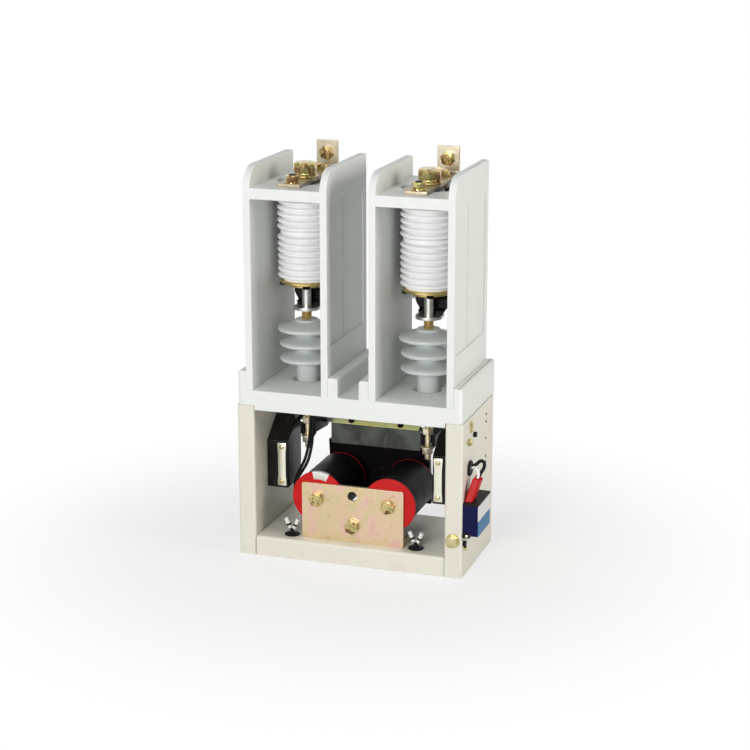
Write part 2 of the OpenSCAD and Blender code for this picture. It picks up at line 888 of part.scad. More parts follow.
// Laminated connector: one S bend from the lug up to the lower terminal
module flex_connector(side) {
    y0 = axis_y + tongue_l - flex_foot;
    y1 = axis_y + tongue_l;
    in_r = flex_r - flex_t;
    color("dimgray")
        translate([side * pole_x, 0, lug_top])
            intersection() {
                along_x(flex_w) {
                    translate([y0, 0])
                        square([y1 - y0, flex_t]);
                    translate([y1, flex_r])
                        quarter(in_r, flex_r, 1, -1);
                    translate([y1 + in_r, flex_r])
                        square([flex_t, flex_rise + flex_t - 2 * flex_r]);
                    translate([y1 + flex_r + in_r, flex_rise + flex_t - flex_r])
                        quarter(in_r, flex_r, -1, 1);
                    translate([y1 + flex_r + in_r, flex_rise])
                        square([rear_y - rear_t - flex_clear - y1 - flex_r - in_r, flex_t]);
                }
                along_y(front_y, frame_d)
                    polygon([
                        [-flex_low_w / 2, 0],
                        [flex_low_w / 2, 0],
                        [flex_w / 2, flex_rise * flex_waist_share],
                        [flex_w / 2, flex_rise + flex_t],
                        [-flex_w / 2, flex_rise + flex_t],
                        [-flex_w / 2, flex_rise * flex_waist_share]
                    ]);
            }
}

// Moving stem with the lug plate at its lower end
module moving_stem(side) {
    color("silver")
        at_pole(side) {
            translate([0, 0, lug_z]) {
                cylinder(r = lug_r, h = lug_t);
                translate([-tongue_w / 2, 0, 0])
                    cube([tongue_w, tongue_l, lug_t]);
                cylinder(r = stem_r, h = ring_z + stem_in - lug_z);
            }
        }
}

module stem_nut(side) {
    color("gold")
        at_pole(side)
            translate([0, 0, cap_z])
                union() {
                    hex(nut_af, nut_h * nut_share);
                    translate([0, 0, nut_h * nut_share])
                        cylinder(r = nut_af / 2 * hex_corner, h = nut_h * (1 - nut_share));
                }
}

// Outline of one shed with its rim at height z
module shed_outline(r, z, rise) {
    polygon([
        [0, z - shed_edge_r],
        [r - shed_edge_r, z - shed_edge_r],
        [r - shed_edge_r * shed_slope_share, z + shed_edge_r * shed_slope_share],
        [core_r, z + rise],
        [0, z + rise]
    ]);
    translate([r - shed_edge_r, z])
        circle(shed_edge_r);
}

// Moulded drive insulator with three sheds
module drive_insulator(side) {
    shed_z = floor_z + shed_low;
    top_z = shed_z + 2 * shed_pitch;
    color("gainsboro")
        at_pole(side)
            rotate_extrude() {
                translate([0, foot_z])
                    square([core_r, top_z - foot_z]);
                for (i = [0:1])
                    shed_outline(shed_r, shed_z + i * shed_pitch, shed_pitch * shed_rise_share);
                shed_outline(top_shed_r, top_z, (cap_z - top_z) * cap_rise_share);
                translate([0, top_z])
                    square([cap_r, cap_z - top_z]);
            }
}

// Threaded stud with its nuts on both sides of the rocker arm
module drive_stud(side) {
    color("khaki")
        at_pole(side) {
            translate([0, 0, stud_low + stud_r])
                cylinder(r = stud_r, h = foot_z - stud_low - stud_r);
            translate([0, 0, stud_low + stud_r])
                sphere(stud_r);
            translate([0, 0, nut_top_z])
                hex(stud_nut_af, stud_nut_h);
            translate([0, 0, nut_low_z - stud_washer_h])
                cylinder(r = stud_washer_r, h = stud_washer_h);
            translate([0, 0, nut_low_z - stud_washer_h - stud_nut_h])
                hex(stud_nut_af, stud_nut_h);
        }
}

module rocker_shaft() {
    color("lightslategray")
        translate([0, pivot_y, pivot_h])
            rotate([0, 90, 0])
                cylinder(r = shaft_r, h = 2 * (post_in - shaft_gap), center = true);
}

// Bar under the shaft, which lies in a groove in its top
module rocker_hub() {
    color("darkkhaki")
        difference() {
            translate([-hub_w / 2, hub_y, hub_low])
                cube([hub_w, hub_d, hub_h]);
            translate([0, pivot_y, pivot_h])
                rotate([0, 90, 0])
                    cylinder(r = shaft_r, h = hub_w + 2 * over, center = true);
        }
}

module arm_outline() {
    difference() {
        union() {
            translate([pivot_y, pivot_h])
                circle(arm_hub_r);
            translate([axis_y, arm_z])
                circle(arm_end_r);
            polygon([
                [axis_y, arm_z - arm_neck],
                [pivot_y, pivot_h - arm_hub_r],
                [pivot_y, pivot_h + arm_hub_r],
                [axis_y, arm_z + arm_neck]
            ]);
        }
        translate([pivot_y, pivot_h])
            circle(shaft_r);
    }
}

// Two arms on the shaft; the stud hangs in the fork at the end of each
module rocker_arms() {
    color("dimgray")
        for (side = [-1, 1])
            difference() {
                translate([side * pole_x, 0, 0])
                    along_x(arm_w)
                        arm_outline();
                at_pole(side)
                    translate([0, 0, arm_z - arm_end_r - over]) {
                        cylinder(r = stud_r + stud_gap, h = 2 * (arm_end_r + over));
                        translate([-stud_r - stud_gap, -arm_end_r - over, 0])
                            cube([2 * (stud_r + stud_gap), arm_end_r + over, 2 * (arm_end_r + over)]);
                        translate([-arm_w, -arm_end_r - over, 0])
                            cube([2 * arm_w, arm_end_r + over - arm_tine, 2 * (arm_end_r + over)]);
                    }
            }
}

// Armature: upright when closed on the cores, swung back while the contactor is open
module armature_plate() {
    color("darkslategray")
        intersection() {
            translate([0, pivot_y, pivot_h])
                rotate([close_angle, 0, 0])
                    translate([-armature_w / 2, core_end + armature_gap - pivot_y, armature_low - pivot_h])
                        cube([armature_w, armature_t, pivot_h - armature_low]);
            translate([-armature_w / 2, front_y, 0])
                cube([armature_w, frame_d + pole_d, hub_low]);
        }
}

// Bearing blocks on the posts, up to the rim of the base
module shaft_bearings() {
    color("slategray")
        for (side = [-1, 1])
            difference() {
                translate([side * (post_in - bearing_w / 2), pivot_y, 0])
                    translate([-bearing_w / 2, -bearing_d / 2, pivot_h - bearing_drop])
                        cube([bearing_w, bearing_d, base_z - rim_drop - rim_gap - pivot_h + bearing_drop]);
                translate([side * (post_in - bearing_w / 2), pivot_y, pivot_h])
                    rotate([0, 90, 0])
                        cylinder(r = shaft_r + shaft_gap, h = bearing_w + 2 * over, center = true);
            }
}

// Angle: front plate with three bolt holes and an eye, foot on the tray
module yoke_plate() {
    color("tan")
        difference() {
            union() {
                along_y(yoke_y, yoke_t)
                    translate([0, tray_top + yoke_h / 2])
                        round_rect(yoke_w, yoke_h, yoke_r);
                translate([-yoke_w / 2 + yoke_r, yoke_y + yoke_t - fit, tray_top])
                    cube([yoke_w - 2 * yoke_r, yoke_foot, yoke_t]);
            }
            for (p = yoke_bolt_places)
                translate([p[0], yoke_y - over, p[1]])
                    rotate([-90, 0, 0])
                        cylinder(r = yoke_shank_r + fit, h = yoke_t + 2 * over);
            translate([0, yoke_y - over, yoke_hole_h])
                rotate([-90, 0, 0])
                    cylinder(r = yoke_hole_r, h = yoke_t + 2 * over);
        }
}

module yoke_bolts() {
    color("burlywood")
        for (p = yoke_bolt_places)
            translate([p[0], yoke_y + yoke_t, p[1]])
                rotate([90, 0, 0]) {
                    cylinder(r = yoke_shank_r, h = yoke_t + over);
                    translate([0, 0, yoke_t])
                        hex(yoke_af, yoke_head_h);
                }
}

// A round piece on a coil axis, from y over a length
module on_coil(side, y, l, r_out, r_in) {
    translate([side * coil_x, y, coil_h])
        rotate([-90, 0, 0])
            difference() {
                cylinder(r = r_out, h = l);
                if (r_in > 0)
                    translate([0, 0, -over])
                        cylinder(r = r_in, h = l + 2 * over);
            }
}

module magnet_cores() {
    color("silver")
        for (side = [-1, 1])
            on_coil(side, coil_y, core_l, magnet_core_r, 0);
}

// Coil former: two cheeks on a tube
module bobbin(side) {
    color("crimson")
        union() {
            on_coil(side, coil_y, cheek_t, cheek_r, magnet_core_r + fit);
            on_coil(side, coil_y, coil_l, magnet_core_r + tube_t, magnet_core_r + fit);
            on_coil(side, coil_y + coil_l - cheek_t, cheek_t, cheek_r, magnet_core_r + fit);
        }
}

module winding(side) {
    color("black")
        on_coil(side, coil_y + cheek_t, coil_l - 2 * cheek_t, winding_r, magnet_core_r + tube_t);
}

// Auxiliary switch on the inner face of a post
module aux_switch(side) {
    color("black")
        mirror([side < 0 ? 1 : 0, 0, 0])
            intersection() {
                along_y(aux_y, aux_d)
                    translate([post_in, aux_low])
                        mirror([1, 0])
                            shoulder(aux_w, aux_h, aux_r);
                along_x(frame_w)
                    translate([aux_y, aux_low])
                        aux_side();
            }
}

// Side view of an auxiliary switch, from its lower front corner
module aux_side() {
    difference() {
        translate([0, aux_h])
            mirror([0, 1])
                shoulder(aux_d, aux_h, aux_round_r);
        polygon([
            [-over, aux_h - aux_slope_h],
            [0, aux_h - aux_slope_h],
            [aux_slope_l, aux_h],
            [aux_slope_l, aux_h + over],
            [-over, aux_h + over]
        ]);
    }
}

// Bright terminal strip with two screws
module aux_strip(side) {
    color("lightgray")
        mirror([side < 0 ? 1 : 0, 0, 0])
            translate([post_in - strip_inset - strip_w / 2, 0, strip_mid]) {
                along_y(aux_y - strip_t, strip_t)
                    square([strip_w, strip_h], center = true);
                for (z = [-1, 1])
                    translate([0, aux_y, z * strip_h * strip_screw_share])
                        rotate([90, 0, 0])
                            cylinder(r = strip_screw_r, h = 2 * strip_t);
            }
}

// Grommets in the tray, flange above and neck through the hole, and the bushing on the post
module lead_grommets() {
    color("black")
        for (x = [-1, 1])
            translate([x * grommet_pitch / 2, front_y + grommet_depth, tray_top]) {
                cylinder(r = grommet_r, h = grommet_h);
                translate([0, 0, grommet_h])
                    cylinder(r1 = neck_r + sleeve_r, r2 = neck_r, h = neck_h - grommet_h);
                translate([0, 0, -sheet_t - grommet_h])
                    cylinder(r = neck_r, h = sheet_t + 2 * grommet_h);
            }
    color("black")
        translate([frame_w / 2, front_y + bushing_depth, bushing_h])
            rotate([0, 90, 0])
                cylinder(r = bushing_r, h = bushing_t);
}

// Two sleeved coil leads stand in a V on each grommet
module lead_sleeves() {
    color("white")
        for (x = [-1, 1], lean = [-1, 1])
            translate([x * grommet_pitch / 2, front_y + grommet_depth, tray_top + neck_h])
                intersection() {
                    translate([lean * sleeve_half, 0, 0])
                        rotate([0, lean * sleeve_angle, 0])
                            translate([0, 0, -sleeve_l])
                                cylinder(r = sleeve_r, h = 2 * sleeve_l);
                    translate([-sleeve_l, -sleeve_l, 0])
                        cube([2 * sleeve_l, 2 * sleeve_l, 2 * sleeve_l]);
                }
}

// Round lead along a route, with lead_sides sides
module lead(route, r) {
    side = sides(route);
    last = len(route) - 1;
    points = [
        for (i = [0:last], k = [0:lead_sides - 1])
            let (a = k * 360 / lead_sides)
                route[i] + r * (cos(a) * side[i] + sin(a) * cross(heading(route, i), side[i]))
    ];
    walls = [
        for (i = [0:last - 1], k = [0:lead_sides - 1])
            let (a = i * lead_sides + k, b = i * lead_sides + (k + 1) % lead_sides)
                [a, a + lead_sides, b + lead_sides, b]
    ];
    ends = [
        [for (k = [0:lead_sides - 1]) k],
        [for (k = [lead_sides - 1:-1:0]) last * lead_sides + k]
    ];
    polyhedron(points, concat(walls, ends));
}

// Two black leads hang from the base to the left coil
module inner_coil_lead() {
    color("black")
        translate([0, front_y, 0])
            lead(inner_coil_route, coil_lead_r);
}

module outer_coil_lead() {
    color("black")
        translate([0, front_y, 0])
            lead(outer_coil_route, coil_lead_r);
}

// A black and a white lead loop from the bushing to the connectors
module black_module_lead() {
    color("black")
        translate([frame_w / 2, front_y, 0])
            lead(black_module_route, black_lead_r);
}

module white_module_lead() {
    color("white")
        translate([frame_w / 2, front_y, 0])
            lead(white_module_route, white_lead_r);
}

// Module on the outer face of the right post
module module_block(z, h) {
    translate([module_x + module_w / 2, module_y + module_d / 2, z])
        linear_extrude(h)
            round_rect(module_w, module_d, module_r);
}

module control_module() {
    color("midnightblue")
        module_block(module_low, module_h);
}

module module_cap() {
    color("black")
        module_block(module_top, module_cap_h);
}

module lead_connectors() {
    color("red")
        for (i = [0, 1])
            translate([module_x + plug_out, module_y + plug_front + i * plug_pitch, cap_top])
                intersection() {
                    rotate([-plug_lean, plug_tilt, 0])
                        translate([0, 0, -plug_h])
                            linear_extrude(2 * plug_h)
                                round_rect(plug_w, plug_l, plug_l * plug_round_share);
                    translate([-plug_h, -plug_h, 0])
                        cube([2 * plug_h, 2 * plug_h, 2 * plug_h]);
                }
}

module earth_bolt() {
    color("goldenrod")
        translate([(frame_w - post_w) / 2, front_y, earth_h])
            rotate([90, 0, 0]) {
                cylinder(r = earth_washer_r, h = earth_washer_h);
                translate([0, 0, earth_washer_h])
                    hex(earth_af, earth_head_h);
            }
}

side_post(-1);  // left_side_post
side_post(1);  // right_side_post
base_tray();
moulded_base();
pole_housing(-1);  // left_pole_housing
pole_housing(1);  // right_pole_housing
interrupter(-1);  // left_interrupter
interrupter(1);  // right_interrupter
interrupter_ring(-1);  // left_interrupter_ring
interrupter_ring(1);  // right_interrupter_ring
upper_terminal(-1);  // left_upper_terminal
upper_terminal(1);  // right_upper_terminal
terminal_bolts(-1);  // left_terminal_bolts
terminal_bolts(1);  // right_terminal_bolts
lower_terminal(-1);  // left_lower_terminal
lower_terminal(1);  // right_lower_terminal
flex_connector(-1);  // left_flex_connector
flex_connector(1);  // right_flex_connector
moving_stem(-1);  // left_moving_stem
moving_stem(1);  // right_moving_stem
stem_nut(-1);  // left_stem_nut
stem_nut(1);  // right_stem_nut
drive_insulator(-1);  // left_drive_insulator
drive_insulator(1);  // right_drive_insulator
drive_stud(-1);  // left_drive_stud
drive_stud(1);  // right_drive_stud
rocker_shaft();
rocker_hub();
rocker_arms();
armature_plate();
shaft_bearings();
yoke_plate();
yoke_bolts();
magnet_cores();
bobbin(-1);  // left_bobbin
bobbin(1);  // right_bobbin
winding(-1);  // left_winding
winding(1);  // right_winding
aux_switch(-1);  // left_aux_switch
aux_switch(1);  // right_aux_switch
aux_strip(-1);  // left_aux_strip
aux_strip(1);  // right_aux_strip
lead_grommets();
lead_sleeves();
inner_coil_lead();
outer_coil_lead();
black_module_lead();
white_module_lead();
control_module();
module_cap();
lead_connectors();
earth_bolt();
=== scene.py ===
# Two pole medium voltage vacuum contactor, dressed piece by piece over its solids.
# Lengths are metres in the frame of the solids, and mm turns millimetres into metres.
import math

import bpy
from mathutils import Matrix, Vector


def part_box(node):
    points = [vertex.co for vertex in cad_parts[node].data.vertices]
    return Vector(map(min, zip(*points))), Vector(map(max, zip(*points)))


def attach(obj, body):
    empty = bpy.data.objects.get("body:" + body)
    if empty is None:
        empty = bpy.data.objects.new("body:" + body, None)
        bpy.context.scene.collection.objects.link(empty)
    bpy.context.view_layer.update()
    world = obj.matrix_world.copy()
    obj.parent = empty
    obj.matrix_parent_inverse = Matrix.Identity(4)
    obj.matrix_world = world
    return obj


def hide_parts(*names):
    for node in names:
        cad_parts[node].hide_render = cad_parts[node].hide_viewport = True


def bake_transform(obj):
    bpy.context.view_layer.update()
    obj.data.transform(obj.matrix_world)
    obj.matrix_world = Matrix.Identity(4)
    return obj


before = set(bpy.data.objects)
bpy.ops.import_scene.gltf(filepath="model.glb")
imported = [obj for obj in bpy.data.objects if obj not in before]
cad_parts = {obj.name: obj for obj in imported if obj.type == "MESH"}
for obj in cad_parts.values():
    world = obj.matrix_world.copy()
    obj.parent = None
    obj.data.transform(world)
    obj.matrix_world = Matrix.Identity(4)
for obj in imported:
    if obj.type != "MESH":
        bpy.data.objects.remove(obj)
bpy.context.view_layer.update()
mm = 0.001


# Studio: a pale floor in a pale room, a soft lamp in front, weaker ones at the right side and
# overhead, and one behind on the left for the far sides. The camera looks in from the front right.
class Flow:
    """A socket of a node tree. Sums and products of flows add Math nodes, node() adds any other."""

    def __init__(self, tree, socket=None):
        self.tree = tree
        self.socket = socket

    def node(self, kind, settings, inputs, output=0):
        new = self.tree.nodes.new(kind)
        for name, value in settings.items():
            if name == "stops":
                ramp = new.color_ramp.elements
                ramp[0].position, ramp[0].color = value[0]
                ramp[1].position, ramp[1].color = value[-1]
                for place, colour in value[1:-1]:
                    ramp.new(place).color = colour
            else:
                setattr(new, name, value)
        for name, value in inputs.items():
            if isinstance(value, Flow):
                self.tree.links.new(value.socket, new.inputs[name])
            else:
                new.inputs[name].default_value = value
        return Flow(self.tree, new.outputs[output] if len(new.outputs) else None)

    def maths(self, operation, first, second):
        return self.node("ShaderNodeMath", {"operation": operation}, {0: first, 1: second})

    def __add__(self, other):
        return self.maths("ADD", self, other)

    def __radd__(self, other):
        return self.maths("ADD", other, self)

    def __rsub__(self, other):
        return self.maths("SUBTRACT", other, self)

    def __mul__(self, other):
        return self.maths("MULTIPLY", self, other)

    def __rmul__(self, other):
        return self.maths("MULTIPLY", other, self)

    def rise(self, low, high):
        """0 below low, 1 above high, smooth between them."""
        limits = {"Value": self, "From Min": low, "From Max": high}
        return self.node("ShaderNodeMapRange", {"interpolation_type": "SMOOTHSTEP"}, limits)

    def between(self, low, high):
        """The colour low where this flow is 0, and high where it is 1."""
        return self.node("ShaderNodeMix", {"data_type": "RGBA"}, {0: self, 6: low, 7: high}, 2)


def noise(at, scale, detail=3.0, warp=0.0):
    return at.node(
        "ShaderNodeTexNoise", {}, {"Vector": at, "Scale": scale, "Detail": detail, "Distortion": warp}
    )


def make_material(name, recipe):
    """recipe takes the Object coordinates and returns the Principled shader's inputs."""
    material = bpy.data.materials.new(name)
    material.use_nodes = True
    material.node_tree.nodes.clear()
    start = Flow(material.node_tree)
    at = start.node("ShaderNodeTexCoord", {}, {}, "Object")
    shader = start.node("ShaderNodeBsdfPrincipled", {}, recipe(at))
    start.node("ShaderNodeOutputMaterial", {}, {"Surface": shader})
    return material


def pale_floor(at):
    return {
        "Base Color": noise(at, 3).between((0.86, 0.86, 0.86, 1), (0.9, 0.9, 0.9, 1)),
        "Roughness": 0.9,
        "Specular IOR Level": 0.1,
    }


def seen_rays(start):
    """1 for what the camera sees, straight or by way of metal and glass, and 0 for other light."""
    rays = ("Is Camera Ray", "Is Glossy Ray", "Is Transmission Ray")
    camera_ray, glossy_ray, through_ray = (start.node("ShaderNodeLightPath", {}, {}, ray) for ray in rays)
    return (camera_ray + glossy_ray + through_ray).rise(0, 1)


scene = bpy.context.scene
scene.view_settings.view_transform = "Standard"
bpy.ops.object.select_all(action="DESELECT")
bpy.ops.object.camera_add(
    location=(0.7478, -2.2314, 0.8830),
    rotation=(math.radians(74.585), 0, math.radians(18.264)),
)
scene.camera = bpy.context.object
scene.camera.data.lens = 91.16
scene.camera.data.sensor_width = 36

floor_w = 60
floor_drop = 0.3 * mm
bpy.ops.mesh.primitive_plane_add(size=floor_w, location=(0, 0, -floor_drop))
floor = bpy.context.object
floor.name = "floor"
floor_finish = make_material("pale_floor", pale_floor)
start = Flow(floor_finish.node_tree)
at = start.node("ShaderNodeTexCoord", {}, {}, "Object")
far = start.node("ShaderNodeVectorMath", {"operation": "LENGTH"}, {0: at}, "Value").rise(0.15, 0.6)
shaded = Flow(floor_finish.node_tree, floor_finish.node_tree.nodes["Principled BSDF"].outputs[0])
white = start.node("ShaderNodeEmission", {}, {"Color": (1, 1, 1, 1), "Strength": 1.0})
paling = (0.62 + 0.38 * far) * seen_rays(start)
faded = start.node("ShaderNodeMixShader", {}, {0: paling, 1: shaded, 2: white})
start.node("ShaderNodeOutputMaterial", {"is_active_output": True}, {"Surface": faded})
floor.data.materials.append(floor_finish)

neutral = (1, 1, 1)
warm = (1, 0.97, 0.90)
lamps = {
    "key": ((-0.15, -2.9, 1.0), 0.8, 50, neutral),
    "side": ((1.8, -0.2, 0.95), 0.8, 17, warm),
    "top": ((-0.3, -0.6, 2.6), 1.2, 10, neutral),
    "rear": ((-1.9, 1.5, 0.9), 1.0, 13, neutral),
}
lamp_aim = Vector((0, 0, 0.25))
for lamp, (place, size, power, colour) in lamps.items():
    bpy.ops.object.light_add(type="AREA", location=place)
    light = bpy.context.object
    light.name = lamp + "_lamp"
    light.rotation_euler = (lamp_aim - Vector(place)).to_track_quat("-Z", "Y").to_euler()
    light.data.size = size
    light.data.energy = power
    light.data.color = colour

room = bpy.data.worlds.new("room")
scene.world = room
room.use_nodes = True
room.node_tree.nodes.clear()
start = Flow(room.node_tree)
light_level = 0.12 + 0.88 * seen_rays(start)
walls = start.node("ShaderNodeBackground", {}, {"Color": (1, 1, 1, 1), "Strength": light_level})
start.node("ShaderNodeOutputWorld", {}, {"Surface": walls})


# Side posts and tray: folded steel sheet, welded at the foot and powder coated in cream.
# The coat has a fine orange peel, and it is lightly scuffed where the frame stands on the floor.
def only(piece):
    bpy.ops.object.select_all(action="DESELECT")
    piece.select_set(True)
    bpy.context.view_layer.objects.active = piece


def eased(piece, edge, segments=2, sharp=30):
    """Rounds the edges of a piece that are sharper than an angle in degrees."""
    only(piece)
    rounding = piece.modifiers.new("rounding", "BEVEL")
    rounding.width = edge
    rounding.segments = segments
    rounding.limit_method = "ANGLE"
    rounding.angle_limit = math.radians(sharp)
    bpy.ops.object.modifier_apply(modifier=rounding.name)


def dressed(node, edge, segments=2, sharp=35):
    """A node's mesh with its loose triangles welded into flat faces and its edges rounded."""
    piece = bpy.data.objects.new(node + "_dressed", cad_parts[node].data.copy())
    scene.collection.objects.link(piece)
    only(piece)
    bpy.ops.object.mode_set(mode="EDIT")
    bpy.ops.mesh.select_all(action="SELECT")
    bpy.ops.mesh.customdata_custom_splitnormals_clear()
    bpy.ops.mesh.remove_doubles(threshold=0.002 * mm)
    bpy.ops.mesh.dissolve_limited(angle_limit=math.radians(0.5))
    bpy.ops.object.mode_set(mode="OBJECT")
    eased(piece, edge, segments, sharp)
    bpy.ops.object.shade_smooth_by_angle(angle=math.radians(sharp))
    flatness = piece.modifiers.new("flatness", "WEIGHTED_NORMAL")
    flatness.keep_sharp = True
    bpy.ops.object.modifier_apply(modifier=flatness.name)
    return piece


def hand_over(piece, material, slot, body, *nodes):
    """Gives a finished piece its finish, the body it rides on and the nodes it stands for; slot is unused.
    """
    piece.data.materials.clear()
    piece.data.materials.append(material)
    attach(piece, body)
    if nodes:
        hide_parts(*nodes)


def bump(height, strength, depth):
    return height.node("ShaderNodeBump", {}, {"Height": height, "Strength": strength, "Distance": depth})


def height_of(at):
    return at.node("ShaderNodeSeparateXYZ", {}, {"Vector": at}, "Z")


def cream_coat(at):
    cloud = noise(at, 14, 4)
    peel = noise(at, 1100, 2)
    scuffs = (1 - height_of(at).rise(2 * mm, 16 * mm)) * noise(at, 130, 6).rise(0.5, 0.68)
    coat = cloud.between((0.74, 0.71, 0.61, 1), (0.80, 0.775, 0.68, 1))
    return {
        "Base Color": (0.2 * scuffs).between(coat, (0.46, 0.42, 0.33, 1)),
        "Roughness": 0.34 + 0.16 * cloud + 0.1 * scuffs,
        "Normal": bump(peel, 0.12, 0.15 * mm),
    }


cream = make_material("cream_coat", cream_coat)
for node in ("left_side_post", "right_side_post", "base_tray"):
    hand_over(dressed(node, 0.5 * mm), cream, "frame_paint", "frame", node)


# Magnet cores: two bars of soft iron, turned and left bare, with an oily bloom.
# Each is bolted to the yoke in front, and its rear face takes the armature.
def drawn_line(name, points):
    """A line of edges through points, left in Edit Mode with all of it selected."""
    line = bpy.data.meshes.new(name)
    line.from_pydata(points, [(i, i + 1) for i in range(len(points) - 1)], [])
    piece = bpy.data.objects.new(name, line)
    scene.collection.objects.link(piece)
    only(piece)
    bpy.ops.object.mode_set(mode="EDIT")
    bpy.ops.mesh.select_all(action="SELECT")
    return piece


def turned(name, profile, steps=64, angle=360.0):
    """Lathe work: a profile of (radius, height) points in mm, spun about the vertical."""
    piece = drawn_line(name, [(radius * mm, 0, height * mm) for radius, height in profile])
    bpy.ops.mesh.spin(steps=steps, angle=math.radians(angle), center=(0, 0, 0), axis=(0, 0, 1))
    bpy.ops.mesh.select_all(action="SELECT")
    bpy.ops.mesh.remove_doubles(threshold=0.002 * mm)
    bpy.ops.mesh.normals_make_consistent(inside=False)
    bpy.ops.object.mode_set(mode="OBJECT")
    bpy.ops.object.shade_smooth_by_angle(angle=math.radians(40))
    return piece


def stand(piece, foot, out=(0, 0, 1), turn=0.0):
    """Turns a piece made about the vertical by turn degrees, points it along out and sets its foot."""
    only(piece)
    piece.rotation_euler = (0, 0, math.radians(turn))
    bpy.ops.object.transform_apply()
    piece.rotation_euler = Vector(out).to_track_quat("Z", "Y").to_euler()
    piece.location = foot
    bpy.ops.object.transform_apply()
    return piece


def joined(name, pieces):
    only(pieces[0])
    for piece in pieces[1:]:
        piece.select_set(True)
    bpy.ops.object.join()
    pieces[0].name = name
    return pieces[0]


def stretched(at, scale):
    return at.node("ShaderNodeMapping", {}, {"Vector": at, "Scale": scale})


def metal(pale, deep, rough, stretch=(1, 1, 1), grain=700, bareness=1.0):
    """A plated or bare metal: cloudy tarnish between two colours, and fine marks of its making."""

    def recipe(at):
        tarnish = noise(at, 60, 5, 0.4).rise(0.3, 0.72)
        marks = noise(stretched(at, stretch), grain, 4)
        return {
            "Base Color": tarnish.between(pale, deep),
            "Metallic": bareness,
            "Roughness": rough + 0.16 * tarnish + 0.1 * marks,
            "Normal": bump(marks, 0.1, 0.05 * mm),
        }

    return recipe


rear = (0, 1, 0)
yoke_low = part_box("yoke_plate")[0]
yoke_t = 5 * mm
coil_y = yoke_low.y + yoke_t
core_low, core_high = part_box("magnet_cores")
core_r = (core_high.z - core_low.z) / 2
coil_z = core_low.z + core_r
coil_x = core_high.x - core_r
core_l = (core_high.y - core_low.y) / mm
core_radius = core_r / mm
chamfer = 0.8
bar = [(0, 0), (core_radius, 0), (core_radius, core_l - chamfer), (core_radius - chamfer, core_l)]
bar.append((0, core_l))
cores = [stand(turned("core", bar, 56), (x, coil_y, coil_z), rear) for x in (-coil_x, coil_x)]
iron = make_material("bare_iron", metal((0.52, 0.52, 0.51, 1), (0.30, 0.28, 0.26, 1), 0.3))
hand_over(joined("bare_cores", cores), iron, "core_iron", "frame", "magnet_cores")


# Bobbins: red moulded coil formers with a fine grain, a tube with a wide cheek in front and a thin
# one behind. A plain white tape tab is folded over the top of the left front cheek.
def red_moulding(at):
    cloud = noise(at, 40, 3)
    grain = noise(at, 1800, 2)
    return {
        "Base Color": cloud.between((0.53, 0.010, 0.012, 1), (0.64, 0.020, 0.020, 1)),
        "Roughness": 0.36 + 0.14 * cloud,
        "Specular IOR Level": 0.1,
        "Normal": bump(grain, 0.06, 0.1 * mm),
    }


def paper_tape(at):
    fibre = noise(stretched(at, (1, 1, 3)), 600, 4)
    return {
        "Base Color": fibre.between((0.78, 0.77, 0.73, 1), (0.86, 0.86, 0.84, 1)),
        "Roughness": 0.7 + 0.15 * fibre,
        "Normal": bump(fibre, 0.2, 0.1 * mm),
    }


red = make_material("red_moulding", red_moulding)
bobbin_low, bobbin_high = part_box("left_bobbin")
cheek_r = (bobbin_high.z - bobbin_low.z) / 2 / mm
coil_l = (bobbin_high.y - bobbin_low.y) / mm
cheek_t = 3.0
rear_t = 0.9
soft = 0.7
ease = 0.2
bore_gap = 0.15
tube_t = 2.4
bore_r = core_radius + bore_gap
tube_r = core_radius + tube_t
front_cheek = [
    (bore_r, 0),
    (cheek_r - soft, 0),
    (cheek_r - ease, ease),
    (cheek_r, soft),
    (cheek_r, cheek_t - soft),
    (cheek_r - ease, cheek_t - ease),
    (cheek_r - soft, cheek_t),
    (tube_r, cheek_t),
]
winding_low, winding_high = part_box("left_winding")
winding_r = (winding_high.z - winding_low.z) / 2 / mm
rear_rim = 0.15
edge_r = winding_r + rear_rim
rear_start = coil_l - rear_t
rear_cheek = [(tube_r, rear_start), (edge_r - ease, rear_start), (edge_r, rear_start + ease)]
rear_cheek += [(edge_r, coil_l - ease), (edge_r - ease, coil_l), (bore_r, coil_l)]
coils = {"left": -coil_x, "right": coil_x}
for side, x in coils.items():
    former = turned(side + "_former", front_cheek + rear_cheek + front_cheek[:1], 96)
    stand(former, (x, coil_y, coil_z), rear)
    hand_over(former, red, "bobbin_red", "frame", side + "_bobbin")

tab_r = cheek_r + 0.2
tab_y = -0.3
tab = turned("cheek_tape", [(25, tab_y), (tab_r, tab_y), (tab_r, 5)], steps=12, angle=38)
stand(tab, (-coil_x, coil_y, coil_z), rear, turn=115)
thickness = tab.modifiers.new("thickness", "SOLIDIFY")
thickness.thickness = 0.25 * mm
bpy.ops.object.modifier_apply(modifier=thickness.name)
hand_over(tab, make_material("paper_tape", paper_tape), "sleeve_white", "frame")


# Windings: black insulating tape wound round the coils in overlapping turns.
# Each turn is a shallow step, and the tape is creased and has a soft gloss.
def black_tape(at):
    crease = noise(stretched(at, (1, 0.25, 1)), 220, 5, 0.6)
    dust = noise(at, 30, 4)
    return {
        "Base Color": dust.between((0.003, 0.003, 0.003, 1), (0.010, 0.009, 0.009, 1)),
        "Roughness": 0.3 + 0.3 * dust,
        "Specular IOR Level": 0.06,
        "Normal": bump(crease, 0.25, 0.25 * mm),
    }


